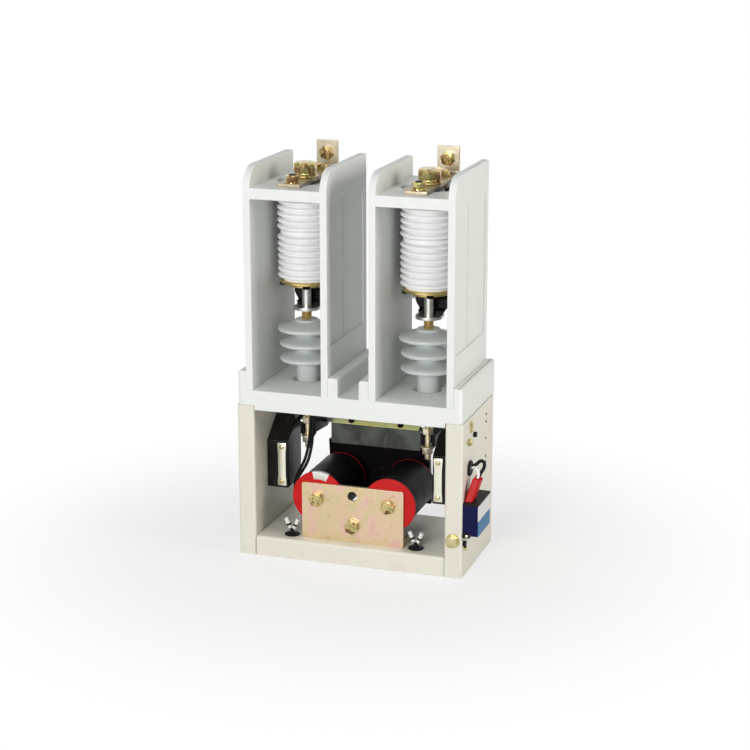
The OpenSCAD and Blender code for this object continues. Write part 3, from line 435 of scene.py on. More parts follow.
tape = make_material("black_tape", black_tape)
winding_l = coil_l - rear_t - (winding_low.y - coil_y) / mm
tape_turns = 9
tape_step = 0.35
turn_l = winding_l / tape_turns
tape_profile = [(tube_r, 0)]
for i in range(tape_turns):
    tape_profile += [(winding_r - tape_step, i * turn_l + 0.05), (winding_r, (i + 1) * turn_l - 0.4)]
    tape_profile += [(winding_r - 0.1, (i + 1) * turn_l - 0.05)]
tape_profile += [(tube_r, winding_l), (tube_r, 0)]
for side, x in coils.items():
    winding = turned(side + "_tape", tape_profile, 96)
    stand(winding, (x, winding_low.y, coil_z), rear)
    hand_over(winding, tape, "winding_black", "frame", side + "_winding")


# Yoke plate: a steel angle on the tray, zinc plated and passivated, so that it shimmers from
# yellow to pink. Three hexagon bolts hold the two cores and the middle of the plate.
def tinted(flow, tints):
    return flow.node("ShaderNodeValToRGB", {"stops": tints}, {"Fac": flow})


def shimmering_zinc(at):
    drift = noise(stretched(at, (1, 1, 0.6)), 24, 3, 1.6)
    fine = noise(at, 420, 4)
    rolled = noise(stretched(at, (14, 1, 1)), 60, 4)
    tints = [
        (0.28, (0.72, 0.46, 0.40, 1)),
        (0.42, (0.70, 0.53, 0.34, 1)),
        (0.51, (0.64, 0.54, 0.30, 1)),
        (0.60, (0.72, 0.54, 0.38, 1)),
        (0.74, (0.70, 0.42, 0.38, 1)),
    ]
    stain = noise(at, 90, 5).rise(0.56, 0.75)
    return {
        "Base Color": (0.4 * stain).between(tinted(drift, tints), (0.30, 0.22, 0.12, 1)),
        "Metallic": 0.85,
        "Roughness": 0.3 + 0.12 * fine + 0.12 * stain,
        "Normal": bump(rolled, 0.08, 0.08 * mm),
    }


def yellow_zinc_painted_reflections(at):
    """Yellow passivated hardware, nearly a mirror: gold and olive plating over dark painted reflections.
    """
    # Painted reflections: the patches, stretched upright, swing from dark brown to bright gold like
    # mirrored surroundings.
    reflection_patch = noise(stretched(at, (1, 1, 0.7)), 85, 3, 1.4)
    tints = [
        (0.34, (0.17, 0.105, 0.045, 1)),
        (0.44, (0.46, 0.31, 0.13, 1)),
        (0.52, (0.70, 0.56, 0.28, 1)),
        (0.60, (0.50, 0.46, 0.17, 1)),
        (0.70, (0.20, 0.17, 0.06, 1)),
    ]
    marks = noise(at, 700, 4)
    return {
        "Base Color": tinted(reflection_patch, tints),
        "Metallic": 1.0,
        "Roughness": 0.14 + 0.14 * marks,
        "Normal": bump(marks, 0.1, 0.05 * mm),
    }


def cut(piece, operation, tool):
    """Shapes a piece by a tool, which is used up."""
    only(piece)
    shaping = piece.modifiers.new("cut", "BOOLEAN")
    shaping.operation = operation
    shaping.object = tool
    bpy.ops.object.modifier_apply(modifier=shaping.name)
    bpy.data.objects.remove(tool)


def hexagon(name, flats, height, bore=0.0):
    """A hexagon head or nut with its corners turned off by a cone, and its edges eased."""
    bpy.ops.object.select_all(action="DESELECT")
    corner_r = flats / 2 / math.cos(math.radians(30)) * mm
    bpy.ops.mesh.primitive_cylinder_add(vertices=6, radius=corner_r, depth=height * mm)
    head = bpy.context.object
    head.name = name
    head.location.z = height * mm / 2
    bpy.ops.object.transform_apply()
    crown = flats * 0.48
    flare = height / math.tan(math.radians(30))
    cone = [(0, 0), (crown + flare, 0), (crown, height), (0, height)]
    cut(head, "INTERSECT", turned("corner_tool", cone))
    if bore:
        bore_walls = [(0, -1), (bore, -1), (bore, height + 1), (0, height + 1)]
        cut(head, "DIFFERENCE", turned("bore_tool", bore_walls, 40))
    sharp = 25
    eased(head, 0.25 * mm, 2, sharp)
    bpy.ops.object.shade_smooth_by_angle(angle=math.radians(sharp))
    return head


zinc = make_material("shimmering_zinc", shimmering_zinc)
hand_over(dressed("yoke_plate", 0.5 * mm), zinc, "yoke_zinc", "frame", "yoke_plate")

# The yellow zinc finish on the bolts carries painted reflections in its colour.
gold_zinc_painted_reflections = make_material("yellow_zinc_painted_reflections", yellow_zinc_painted_reflections)
front = (0, -1, 0)
middle_bolt_z = 48 * mm
bolt_places = [(-coil_x, coil_z), (coil_x, coil_z), (0, middle_bolt_z)]
heads = [
    stand(hexagon("yoke_bolt", flats=16.5, height=7), (x, yoke_low.y, z), front, turn=20 + 25 * i)
    for i, (x, z) in enumerate(bolt_places)
]
hand_over(joined("yoke_heads", heads), gold_zinc_painted_reflections, "yoke_bolt_zinc", "frame", "yoke_bolts")


# Auxiliary switches: glossy black mouldings on the inner faces of the posts, with a sloped front.
# Each has a bright plated strip on its front, held by two brass screws.
def black_moulding(at):
    cloud = noise(at, 45, 4)
    grain = noise(at, 1500, 2)
    return {
        "Base Color": cloud.between((0.004, 0.004, 0.004, 1), (0.016, 0.012, 0.009, 1)),
        "Roughness": 0.14 + 0.2 * cloud,
        "Specular IOR Level": 0.18,
        "Normal": bump(grain, 0.06, 0.1 * mm),
    }


def pale_zinc(at):
    """Bright zinc with a faint shimmer from cream to rose and pale green."""
    drift = noise(stretched(at, (2, 1, 1)), 55, 3, 1.5)
    tints = [
        (0.32, (0.82, 0.70, 0.64, 1)),
        (0.44, (0.86, 0.82, 0.68, 1)),
        (0.54, (0.74, 0.80, 0.66, 1)),
        (0.66, (0.86, 0.76, 0.64, 1)),
    ]
    rolled = noise(stretched(at, (1, 1, 0.1)), 700, 4)
    return {
        "Base Color": tinted(drift, tints),
        "Metallic": 0.9,
        "Roughness": 0.22 + 0.14 * rolled,
        "Normal": bump(rolled, 0.1, 0.05 * mm),
    }


def block(name, middle, size, lean=0.0):
    """A plain block of a size about its middle, turned about the X axis by lean."""
    bpy.ops.object.select_all(action="DESELECT")
    bpy.ops.mesh.primitive_cube_add(size=1, location=middle, rotation=(lean, 0, 0))
    piece = bpy.context.object
    piece.name = name
    piece.scale = size
    bpy.ops.object.transform_apply()
    return piece


def slotted_screw(name, radius, height):
    """A domed screw head with a slot sawn across it."""
    dome = [(0, 0), (radius, 0), (radius, height * 0.4), (radius * 0.86, height * 0.75)]
    screw = turned(name, dome + [(radius * 0.5, height * 0.95), (0, height)], 32)
    slot_size = Vector((2.4 * radius, 0.24 * radius, 0.7 * height)) * mm
    cut(screw, "DIFFERENCE", block("saw", (0, 0, height * mm), slot_size))
    bpy.ops.object.shade_smooth_by_angle(angle=math.radians(35))
    return screw


switch_black = make_material("black_moulding", black_moulding)
bright_plate = make_material("bright_plate", pale_zinc)
brass = make_material("brass", metal((0.71, 0.63, 0.36, 1), (0.33, 0.26, 0.10, 1), 0.16))
strip_t = 2 * mm
cut_shares = (0.1, 0.175, 0.25, 0.75, 0.825, 0.9)
waist = 0.88
for side in ("left", "right"):
    node = side + "_aux_switch"
    hand_over(dressed(node, 1.4 * mm, 3), switch_black, "switch_black", "frame", node)

    low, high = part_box(side + "_aux_strip")
    strip_h = high.z - low.z
    switch_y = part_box(node)[0].y
    middle = Vector(((low.x + high.x) / 2, switch_y - strip_t / 2, (low.z + high.z) / 2))
    strip = block(side + "_strip", middle, (high.x - low.x, strip_t, strip_h))
    bpy.ops.object.mode_set(mode="EDIT")
    for share in cut_shares:
        bpy.ops.mesh.select_all(action="SELECT")
        cut_height = low.z + share * strip_h
        bpy.ops.mesh.bisect(plane_co=(middle.x, switch_y, cut_height), plane_no=(0, 0, 1))
    bpy.ops.object.mode_set(mode="OBJECT")
    for vertex in strip.data.vertices:
        reach = abs(vertex.co.z - middle.z) / strip_h * 2
        width = waist + (1 - waist) * min(1, max(0, (reach - 0.5) / 0.3))
        vertex.co.x = middle.x + (vertex.co.x - middle.x) * width
    eased(strip, 0.4 * mm, 2, 40)
    bpy.ops.object.shade_smooth_by_angle(angle=math.radians(30))
    hand_over(strip, bright_plate, "strip_plating", "frame", side + "_aux_strip")

    screws = []
    for end in (-1, 1):
        place = (middle.x, switch_y - strip_t, middle.z + end * 0.4 * strip_h)
        screws.append(stand(slotted_screw("strip_screw", 3.0, 2.0), place, front, turn=30 * end))
    hand_over(joined(side + "_strip_screws", screws), brass, "earth_brass", "frame")


# Grommets and bushing: soft black rubber, pressed into the tray and onto the right post.
# Two sleeved coil leads stand in a V on each grommet, each with a black band and a black end.
def black_rubber(at):
    bloom = noise(at, 120, 4)
    grain = noise(at, 2200, 2)
    return {
        "Base Color": bloom.between((0.005, 0.005, 0.005, 1), (0.016, 0.015, 0.014, 1)),
        "Roughness": 0.38 + 0.25 * bloom,
        "Specular IOR Level": 0.12,
        "Normal": bump(grain, 0.15, 0.1 * mm),
    }


def woven_sleeve(at):
    weave = at.node("ShaderNodeTexChecker", {}, {"Vector": at, "Scale": 1600}, 1)
    soil = noise(at, 260, 3)
    return {
        "Base Color": soil.between((0.80, 0.79, 0.74, 1), (0.88, 0.88, 0.86, 1)),
        "Roughness": 0.55 + 0.2 * soil,
        "Normal": bump(weave, 0.3, 0.15 * mm),
    }


rubber = make_material("black_rubber", black_rubber)
sleeving = make_material("woven_sleeve", woven_sleeve)
sleeve_low, sleeve_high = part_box("lead_sleeves")
tray_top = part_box("base_tray")[1].z
grommet_y = (sleeve_low.y + sleeve_high.y) / 2
grommet_x = 84 * mm
collar = [(0, -4), (4.4, -4), (4.4, 0), (9.2, 0), (9.9, 0.5), (10, 1.1), (9.4, 1.8), (7.5, 2.2)]
collar += [(4.4, 2.8), (3.1, 4.2), (2.8, 6.2), (3.4, 8), (4.2, 9), (0, 9)]
mouldings = [
    stand(turned("grommet", collar, 48), (x, grommet_y, tray_top)) for x in (-grommet_x, grommet_x)
]
outward = (1, 0, 0)
post_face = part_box("right_side_post")[1].x
bushing_place = (post_face, -42 * mm, 137 * mm)
lip = [(0, 0), (9.6, 0), (10, 0.4), (10, 1.7), (9.3, 2.6), (8.2, 3), (7.4, 2.9), (6.8, 2.4), (0, 2.4)]
mouldings.append(stand(turned("bushing", lip, 48), bushing_place, outward))
hand_over(joined("rubber_mouldings", mouldings), rubber, "grommet_rubber", "frame", "lead_grommets")

lean = math.radians(24)
neck_h = 9 * mm
foot_gap = 2.6 * mm
wire_start = 10 * mm
tube = [(0, -2), (1.8, -2), (2.4, -0.6), (2.7, 1), (2.7, 13.2), (2.5, 14.1), (2.1, 14.4), (1.6, 13.8)]
tube += [(1.6, 10), (0, 10)]
band = [(2.4, 3.6), (2.9, 3.6), (3.1, 3.9), (3.1, 6.1), (2.9, 6.4), (2.4, 6.4), (2.4, 3.6)]
wire = [(0, 0), (1.4, 0), (1.4, 3.4), (1, 4), (0, 4.2)]
sleeves = []
wire_ends = []
for x in (-grommet_x, grommet_x):
    for way in (-1, 1):
        foot = Vector((x + way * foot_gap, grommet_y, tray_top + neck_h))
        out = Vector((way * math.sin(lean), 0, math.cos(lean)))
        sleeves.append(stand(turned("sleeve", tube, 24), foot, out))
        wire_ends.append(stand(turned("wire_end", wire, 20), foot + wire_start * out, out))
        wire_ends.append(stand(turned("sleeve_band", band, 24), foot, out))
hand_over(joined("coil_sleeves", sleeves), sleeving, "sleeve_white", "frame", "lead_sleeves")
hand_over(joined("coil_wire_ends", wire_ends), rubber, "grommet_rubber", "frame")


# Rocker: a ground shaft in two bearing blocks, a cast hub bar under it with a plated strip on its
# front ledge, two black arms that lift the poles, and the armature plate that the cores pull in.
def black_paint(at):
    cloud = noise(at, 50, 4)
    rub = noise(at, 170, 6).rise(0.6, 0.74)
    return {
        "Base Color": (0.4 * rub).between((0.005, 0.004, 0.004, 1), (0.05, 0.036, 0.026, 1)),
        "Roughness": 0.26 + 0.22 * cloud,
        "Specular IOR Level": 0.12,
        "Normal": bump(noise(at, 900, 3), 0.12, 0.1 * mm),
    }


def cast_zinc(at):
    smudge = noise(at, 34, 5, 0.8).rise(0.42, 0.66)
    sand = noise(at, 800, 4)
    return {
        "Base Color": smudge.between((0.095, 0.104, 0.088, 1), (0.038, 0.042, 0.036, 1)),
        "Metallic": 0.25,
        "Roughness": 0.45 + 0.2 * smudge,
        "Normal": bump(sand, 0.18, 0.12 * mm),
    }


def green_zinc(at):
    drift = noise(stretched(at, (1, 3, 3)), 30, 3, 1.2)
    tints = [
        (0.35, (0.88, 0.84, 0.26, 1)),
        (0.50, (0.80, 0.88, 0.38, 1)),
        (0.62, (0.93, 0.88, 0.46, 1)),
    ]
    return {
        "Base Color": tinted(drift, tints),
        "Metallic": 0.15,
        "Roughness": 0.28 + 0.15 * noise(at, 300),
    }


coat_black = make_material("black_paint", black_paint)
shaft_steel = make_material("ground_steel", metal((0.58, 0.58, 0.57, 1), (0.36, 0.35, 0.33, 1), 0.2))
shaft_low, shaft_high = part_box("rocker_shaft")
shaft_r = (shaft_high.z - shaft_low.z) / 2
shaft_l = (shaft_high.x - shaft_low.x) / mm
shaft_profile = [(0, 0), (6.4, 0), (7, 0.6), (7, shaft_l - 0.6), (6.4, shaft_l), (0, shaft_l)]
shaft = turned("ground_shaft", shaft_profile, 48)
stand(shaft, (shaft_low.x, shaft_low.y + shaft_r, shaft_low.z + shaft_r), outward)
hand_over(shaft, shaft_steel, "shaft_steel", "rocker", "rocker_shaft")

hub = dressed("rocker_hub", 0.8 * mm, 3)
hand_over(hub, make_material("cast_zinc", cast_zinc), "hub_zinc", "rocker", "rocker_hub")
hub_low, hub_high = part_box("rocker_hub")
ledge_d = 8.6 * mm
ledge_t = 1.2 * mm
ledge_end = 1 * mm
ledge_lean = math.radians(24)
ledge_up = Vector((0, -math.sin(ledge_lean), math.cos(ledge_lean)))
ledge_along = Vector((0, math.cos(ledge_lean), math.sin(ledge_lean)))
ledge_front = Vector((0, hub_low.y, hub_high.z))
ledge_middle = ledge_front + ledge_along * ledge_d / 2 + ledge_up * ledge_t / 2
ledge_size = (hub_high.x - hub_low.x - 2 * ledge_end, ledge_d, ledge_t)
ledge = block("hub_strip", ledge_middle, ledge_size, ledge_lean)
eased(ledge, 0.35 * mm)
hand_over(ledge, make_material("green_zinc", green_zinc), "hub_zinc", "rocker")
bolt_foot = ledge_front + ledge_along * ledge_d * 0.55 + ledge_up * ledge_t
hub_bolts = [
    stand(hexagon("hub_bolt", flats=7, height=4), bolt_foot + Vector((x, 0, 0)), ledge_up)
    for x in (-34 * mm, 34 * mm)
]
hand_over(joined("hub_bolts", hub_bolts), coat_black, "rocker_black", "rocker")

hand_over(dressed("rocker_arms", 1.2 * mm, 3), coat_black, "rocker_black", "rocker", "rocker_arms")
hand_over(dressed("armature_plate", 0.8 * mm), coat_black, "armature_black", "rocker", "armature_plate")
hand_over(dressed("shaft_bearings", 1.0 * mm), coat_black, "rocker_black", "frame", "shaft_bearings")


# Moulded base and pole housings: off-white glass filled moulding with a satin skin, faint flow
# marks and a little dust on its upper faces. The housings are set between the base's collars.
def white_moulding(at):
    cloud = noise(at, 11, 4)
    flow = noise(stretched(at, (1, 1, 0.15)), 70, 4, 0.5)
    skin = noise(at, 1700, 2)
    up = at.node("ShaderNodeNewGeometry", {}, {}, "Normal")
    dust = height_of(up).rise(0.75, 1.0) * noise(at, 85, 5).rise(0.42, 0.7)
    shell = (0.6 * cloud + 0.4 * flow).between((0.79, 0.815, 0.795, 1), (0.865, 0.88, 0.86, 1))
    return {
        "Base Color": (0.22 * dust).between(shell, (0.58, 0.57, 0.52, 1)),
        "Roughness": 0.38 + 0.14 * flow + 0.1 * dust,
        "Specular IOR Level": 0.2,
        "Normal": bump(skin, 0.08, 0.12 * mm),
    }


moulding = make_material("white_moulding", white_moulding)
hand_over(dressed("moulded_base", 1.0 * mm, 3), moulding, "moulding", "frame", "moulded_base")
for side in ("left", "right"):
    node = side + "_pole_housing"
    hand_over(dressed(node, 0.7 * mm, 3), moulding, "moulding", "frame", node)


# Drive insulators: pressed grey resin with three sheds, which carry the lift of the rocker
# to the poles. Each screws onto a plated stud below and takes a brass nut above.
def grey_resin(at):
    cloud = noise(at, 26, 4)
    speck = noise(at, 900, 2).rise(0.66, 0.74)
    resin = cloud.between((0.56, 0.60, 0.58, 1), (0.64, 0.675, 0.655, 1))
    return {
        "Base Color": (0.25 * speck).between(resin, (0.42, 0.44, 0.42, 1)),
        "Roughness": 0.26 + 0.14 * cloud,
        "Normal": bump(noise(at, 500, 3), 0.05, 0.15 * mm),
    }


def rim(radius, z, round_r, first, last, count=8):
    """Points of a round rim from one angle to another, in degrees."""
    angles = [math.radians(first + (last - first) * i / count) for i in range(count + 1)]
    return [(radius - round_r + round_r * math.cos(a), z + round_r * math.sin(a)) for a in angles]


resin = make_material("grey_resin", grey_resin)
nut_brass = make_material("nut_brass", metal((0.80, 0.60, 0.24, 1), (0.55, 0.37, 0.12, 1), 0.24))
shed_r = 35.5
top_shed_r = 38.0
shed_edge = 2.8
first_shed = 36.5
shed_pitch = 20.0
slope = [(26, 5), (18.5, 7.6), (15.2, 9.4), (14, 11.5)]
top_slope = [(28, 5.2), (20, 7.8), (16, 8.9), (15, 9.8)]
sheds = [(shed_r, 55, slope), (shed_r, 55, slope), (top_shed_r, 60, top_slope)]
body = [(0, 0), (13.4, 0), (14, 0.6)]
for i, (tip_r, tip_angle, upper_side) in enumerate(sheds):
    z = first_shed + i * shed_pitch
    body += [(14, z - 6), (14.6, z - 4.4), (16.4, z - 3.3), (24, z - 2.9)]
    body += rim(tip_r, z, shed_edge, -90, tip_angle)
    body += [(r, z + rise) for r, rise in upper_side]
body += [(15, 87.4), (14.4, 88), (0, 88)]
washer = [(0, 9.75), (6.6, 9.75), (6.9, 10.1), (6.9, 12.7), (6.6, 13), (0, 13)]
upward = (0, 0, 1)
for side in ("left", "right"):
    low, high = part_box(side + "_drive_insulator")
    axis = (low + high) / 2
    insulator = turned(side + "_resin_insulator", body, 80)
    stand(insulator, (axis.x, axis.y, low.z))
    hand_over(insulator, resin, "insulator_grey", side + "_drive", side + "_drive_insulator")

    nut_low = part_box(side + "_stem_nut")[0]
    stack = [hexagon("stem_nut", flats=12, height=9.75), turned("stem_washer", washer, 40)]
    nut = joined(side + "_brass_nut", stack)
    stand(nut, (axis.x, axis.y, nut_low.z), upward, turn=12)
    hand_over(nut, nut_brass, "nut_brass", side + "_drive", side + "_stem_nut")


# Drive studs: threaded steel, zinc plated, hung from the insulators. A nut and washer below each
# rocker arm and a nut above it carry the lift, and a jam nut locks the stud to its insulator.
def threaded(radius, bottom, top, pitch=1.5):
    """Profile of a threaded rod as a row of fine ridges, between two heights in mm."""
    count = int((top - bottom) / pitch)
    ridges = []
    for i in range(count):
        z = bottom + i * pitch
        ridges += [(radius - 0.7, z), (radius, z + 0.45 * pitch), (radius, z + 0.6 * pitch)]
    return ridges + [(radius - 0.7, bottom + count * pitch)]


stud_zinc = make_material(
    "stud_zinc", metal((0.90, 0.85, 0.70, 1), (0.62, 0.50, 0.28, 1), 0.18, (1, 1, 6), bareness=0.7)
)
nut_turns = {9: 0, 35.6: 20, 52: 35}
stud_bore = 3.7
plate = [(stud_bore, 17), (8.7, 17), (9, 17.3), (9, 18.7), (8.7, 19), (stud_bore, 19), (stud_bore, 17)]
for side in ("left", "right"):
    low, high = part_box(side + "_drive_stud")
    axis = (low + high) / 2
    stud_l = (high.z - low.z) / mm
    rod = [(0, 0), (2.2, 0.4), (3.5, 1.6), (4, 3.2), (4, 4.4)] + threaded(4, 4.6, stud_l)
    stack = [turned("stud_rod", rod + [(0, stud_l)], 32)]
    for z, turn in nut_turns.items():
        stud_nut = hexagon("stud_nut", flats=13, height=8, bore=stud_bore)
        stack.append(stand(stud_nut, (0, 0, z * mm), upward, turn))
    stack.append(turned("stud_washer", plate, 40))
    stud = joined(side + "_threaded_stud", stack)
    stand(stud, (axis.x, axis.y, low.z))
    hand_over(stud, stud_zinc, "stud_zinc", side + "_drive", side + "_drive_stud")


# Moving stems and their flexible connectors: a silvered copper stem with a lug plate at its foot.
# Five thin copper leaves run from the lug up to the lower terminal; their near black is painted shade.
def painted_shade_leaf(at):
    oxide = noise(at, 140, 5)
    worn = oxide.rise(0.6, 0.76)
    return {
        # Painted shade: the near-black copper stands in for the shade the leaves lie in; the brown patches
        # are wear.
        "Base Color": (0.5 * worn).between((0.007, 0.006, 0.006, 1), (0.07, 0.035, 0.020, 1)),
        "Metallic": 0.15,
        "Roughness": 0.36 + 0.2 * oxide,
        "Specular IOR Level": 0.12,
    }


silver = make_material(
    "silvered_copper", metal((0.80, 0.80, 0.78, 1), (0.56, 0.54, 0.50, 1), 0.18, (1, 1, 0.15))
)
leaf_painted_shade = make_material("painted_shade_leaf", painted_shade_leaf)
leaf_count = 5
leaf_t = 0.62
leaf_pitch = 0.8
bend_r = 9.0
band_t = leaf_count * leaf_pitch
lug_l = 5
narrow = 15.5 * mm
wide_from = 0.62
for side in ("left", "right"):
    node = side + "_moving_stem"
    hand_over(dressed(node, 0.5 * mm), silver, "stem_plating", side + "_drive", node)

    low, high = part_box(side + "_flex_connector")
    middle_x = (low.x + high.x) / 2
    wide = (high.x - low.x) / 2
    first_bend = low.y / mm + lug_l
    second_bend = first_bend + 2 * bend_r - band_t
    top = high.z / mm
    bottom = low.z / mm
    leaves = []
    for i in range(leaf_count):
        inset = (i + 0.5) * leaf_pitch
        outer_r = bend_r - inset
        inner_r = bend_r - band_t + inset
        path = [(low.y / mm, bottom + inset)]
        path += rim(first_bend + outer_r, bottom + bend_r, outer_r, -90, 0)
        path += rim(second_bend + inner_r, top - bend_r, inner_r, 180, 90)
        path.append((high.y / mm, top - bend_r + inner_r))
        leaf = drawn_line("leaf", [(middle_x, y * mm, z * mm) for y, z in path])
        bpy.ops.mesh.extrude_region_move(TRANSFORM_OT_translate={"value": (1 * mm, 0, 0)})
        bpy.ops.object.mode_set(mode="OBJECT")
        for vertex in leaf.data.vertices:
            share = min(1, max(0, (vertex.co.z - low.z) / (high.z - low.z) / wide_from))
            half = narrow + (wide - narrow) * share * share * (3 - 2 * share)
            vertex.co.x = middle_x + (half if vertex.co.x > middle_x + 0.5 * mm else -half)
        sheet = leaf.modifiers.new("sheet", "SOLIDIFY")
        sheet.thickness = leaf_t * mm
        sheet.offset = 0
        bpy.ops.object.modifier_apply(modifier=sheet.name)
        bpy.ops.object.shade_smooth_by_angle(angle=math.radians(40))
        leaves.append(leaf)
    band = joined(side + "_leaves", leaves)
    band.data.materials.append(leaf_painted_shade)
    side + "_drive"
    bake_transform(band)
    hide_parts(side + "_flex_connector")


# Vacuum interrupters: white glazed ceramic with a lower and an upper group of round ribs.
# A brass ring clamped by four black screws closes each one below.
def white_glaze(at):
    pool = noise(at, 32, 3)
    pit = noise(at, 700, 2).rise(0.7, 0.76)
    glaze = pool.between((0.87, 0.88, 0.875, 1), (0.92, 0.925, 0.92, 1))
    return {
        "Base Color": (0.3 * pit).between(glaze, (0.62, 0.60, 0.55, 1)),
        "Roughness": 0.16 + 0.1 * pool,
        "Normal": bump(noise(at, 160, 3), 0.06, 0.3 * mm),
    }


def turned_brass(at):
    rings = noise(stretched(at, (0.05, 0.05, 1)), 2600, 3)
    tarnish = noise(at, 70, 5, 0.5).rise(0.4, 0.72)
    return {
        "Base Color": tarnish.between((0.68, 0.54, 0.23, 1), (0.42, 0.30, 0.11, 1)),
        "Metallic": 1.0,
        "Roughness": 0.2 + 0.2 * tarnish + 0.08 * rings,
        "Normal": bump(rings, 0.12, 0.06 * mm),
    }


glaze = make_material("white_glaze", white_glaze)
ring_brass = make_material("turned_brass", turned_brass)
ceramic_bore = 24.0
ceramic_r = 30.0
rib_r = 36.5
first_rib = 6.4
rib_pitch = 8.2
rib_break = 13.6
ribs_low = 7
ribs_high = 5
rib_shape = [(0, -3.7), (0.12, -3.3), (0.5, -2.6), (0.82, -1.95), (0.96, -1.2), (1, -0.4)]
rib_shape += [(share, -z) for share, z in reversed(rib_shape)]
neck_shape = [(2.6, -2.2), (3, 0), (2.6, 2.2)]
lathe = [(6.7, 0), (24.4, 0), (25, 0.6), (25, 3.4), (25.4, 4), (32.9, 4), (33.5, 4.6), (33.5, 7.4)]
lathe += [(32.9, 8), (6.7, 8), (6.7, 0)]
ring_step = 4 * mm
screw_circle = 29.4 * mm
for side in ("left", "right"):
    low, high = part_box(side + "_interrupter")
    axis = (low + high) / 2
    ceramic_h = (high.z - low.z) / mm
    wall = [(ceramic_bore, 0), (29.4, 0), (ceramic_r, 0.6)]
    for i in range(ribs_low + ribs_high):
        z = first_rib + i * rib_pitch + (rib_break - rib_pitch if i >= ribs_low else 0)
        if i == ribs_low:
            wall += [(ceramic_r + swell, z - rib_break / 2 + along) for swell, along in neck_shape]
        wall += [(ceramic_r + (rib_r - ceramic_r) * share, z + along) for share, along in rib_shape]
    wall += [(ceramic_r, ceramic_h), (ceramic_bore, ceramic_h), (ceramic_bore, 0)]
    ceramic = turned(side + "_ceramic", wall, 96)
    bpy.ops.object.shade_smooth()
    stand(ceramic, (axis.x, axis.y, low.z))
    hand_over(ceramic, glaze, "ceramic", "frame", side + "_interrupter")

    ring_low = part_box(side + "_interrupter_ring")[0]
    ring = turned(side + "_brass_ring", lathe, 96)
    stand(ring, (axis.x, axis.y, ring_low.z))
    hand_over(ring, ring_brass, "ring_brass", "frame", side + "_interrupter_ring")

    screws = []
    for angle in (20, 110, 200, 290):
        turn = math.radians(angle)
        place = Vector((math.cos(turn), math.sin(turn), 0)) * screw_circle
        place += Vector((axis.x, axis.y, ring_low.z + ring_step))
        screws.append(stand(hexagon("ring_screw", flats=9, height=3.8), place, (0, 0, -1), angle))
    hand_over(joined(side + "_ring_screws", screws), coat_black, "rocker_black", "frame")


# Terminals: plated copper bars. The upper one lies on the top plate and turns up behind it, the
# lower one turns up on the rear wall. Yellow plated bolts and nuts clamp the upper one. The small
# nut's stud end is coloured black as painted shade in its bore, and a screw beside the bar is black.
plated_bar = make_material(
    "plated_bar", metal((0.50, 0.45, 0.35, 1), (0.34, 0.28, 0.19, 1), 0.26, (12, 0.6, 0.6), 90)
)
bar_t = 4.5 * mm
upright_rise = 19.6 * mm
small_depth = 30 * mm
rear_reach = 57 * mm
washers_h = 6 * mm
nut_lift = 1.6 * mm
recess_d = 4 * mm
plate_screw_x = 23.3 * mm
plate_screw_y = 3.5 * mm
big_washer = [(0, 0), (15.2, 0), (15.6, 0.4), (15.6, 1.6), (15.2, 2), (13.2, 2), (13.5, 2.4)]
big_washer += [(13.5, 5.6), (13.2, 6), (0, 6)]
flange = [(5, 0), (9.3, 0), (9.6, 0.3), (9.4, 1.2), (8, 2), (5, 2), (5, 0)]
stud_profile = [(0, 0)] + threaded(5.1, 0, 9.7) + [(3.9, 10.8), (0, 11)]
for side in ("left", "right"):
    for bar_name in ("upper", "lower"):
        node = side + "_" + bar_name + "_terminal"
        hand_over(dressed(node, 0.5 * mm), plated_bar, "terminal_plating", "frame", node)

    axis = (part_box(side + "_interrupter")[0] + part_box(side + "_interrupter")[1]) / 2
    bar_low, bar_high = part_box(side + "_upper_terminal")
    bar_top = bar_low.z + bar_t
    small_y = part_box(side + "_pole_housing")[0].y + small_depth
    main_place = (axis.x, axis.y, bar_top + washers_h)
    small_place = (axis.x, small_y, bar_top + nut_lift)
    rear_place = (axis.x, axis.y + rear_reach, bar_top)
    upright_place = (axis.x, bar_high.y - bar_t, bar_top + upright_rise)
    fittings = [
        stand(turned("main_washers", big_washer, 56), (axis.x, axis.y, bar_top)),
        stand(hexagon("main_head", flats=27, height=13), main_place, upward, turn=8),
        stand(turned("small_flange", flange, 48), (axis.x, small_y, bar_top)),
        stand(hexagon("small_nut", flats=15, height=8, bore=5), small_place, upward, turn=24),
        stand(hexagon("rear_head", flats=15, height=8), rear_place, upward, turn=40),
        stand(hexagon("upright_head", flats=16, height=7), upright_place, front, turn=14),
    ]
    bolts = joined(side + "_plated_bolts", fittings)
    hand_over(bolts, gold_zinc_painted_reflections, "bolt_plating", "frame", side + "_terminal_bolts")

    # Painted shade: the stud end is black so that the small nut's bore reads dark.
    painted_shade_stud_end = turned(side + "_stud_end", stud_profile, 32)
    stand(painted_shade_stud_end, (axis.x, small_y, bar_top))
    plate_screw = hexagon(side + "_plate_screw", flats=7.5, height=6)
    stand(plate_screw, (axis.x + plate_screw_x, plate_screw_y, bar_low.z - recess_d), upward, turn=35)
    hand_over(joined(side + "_black_screws", [painted_shade_stud_end, plate_screw]), coat_black, "rocker_black", "frame")


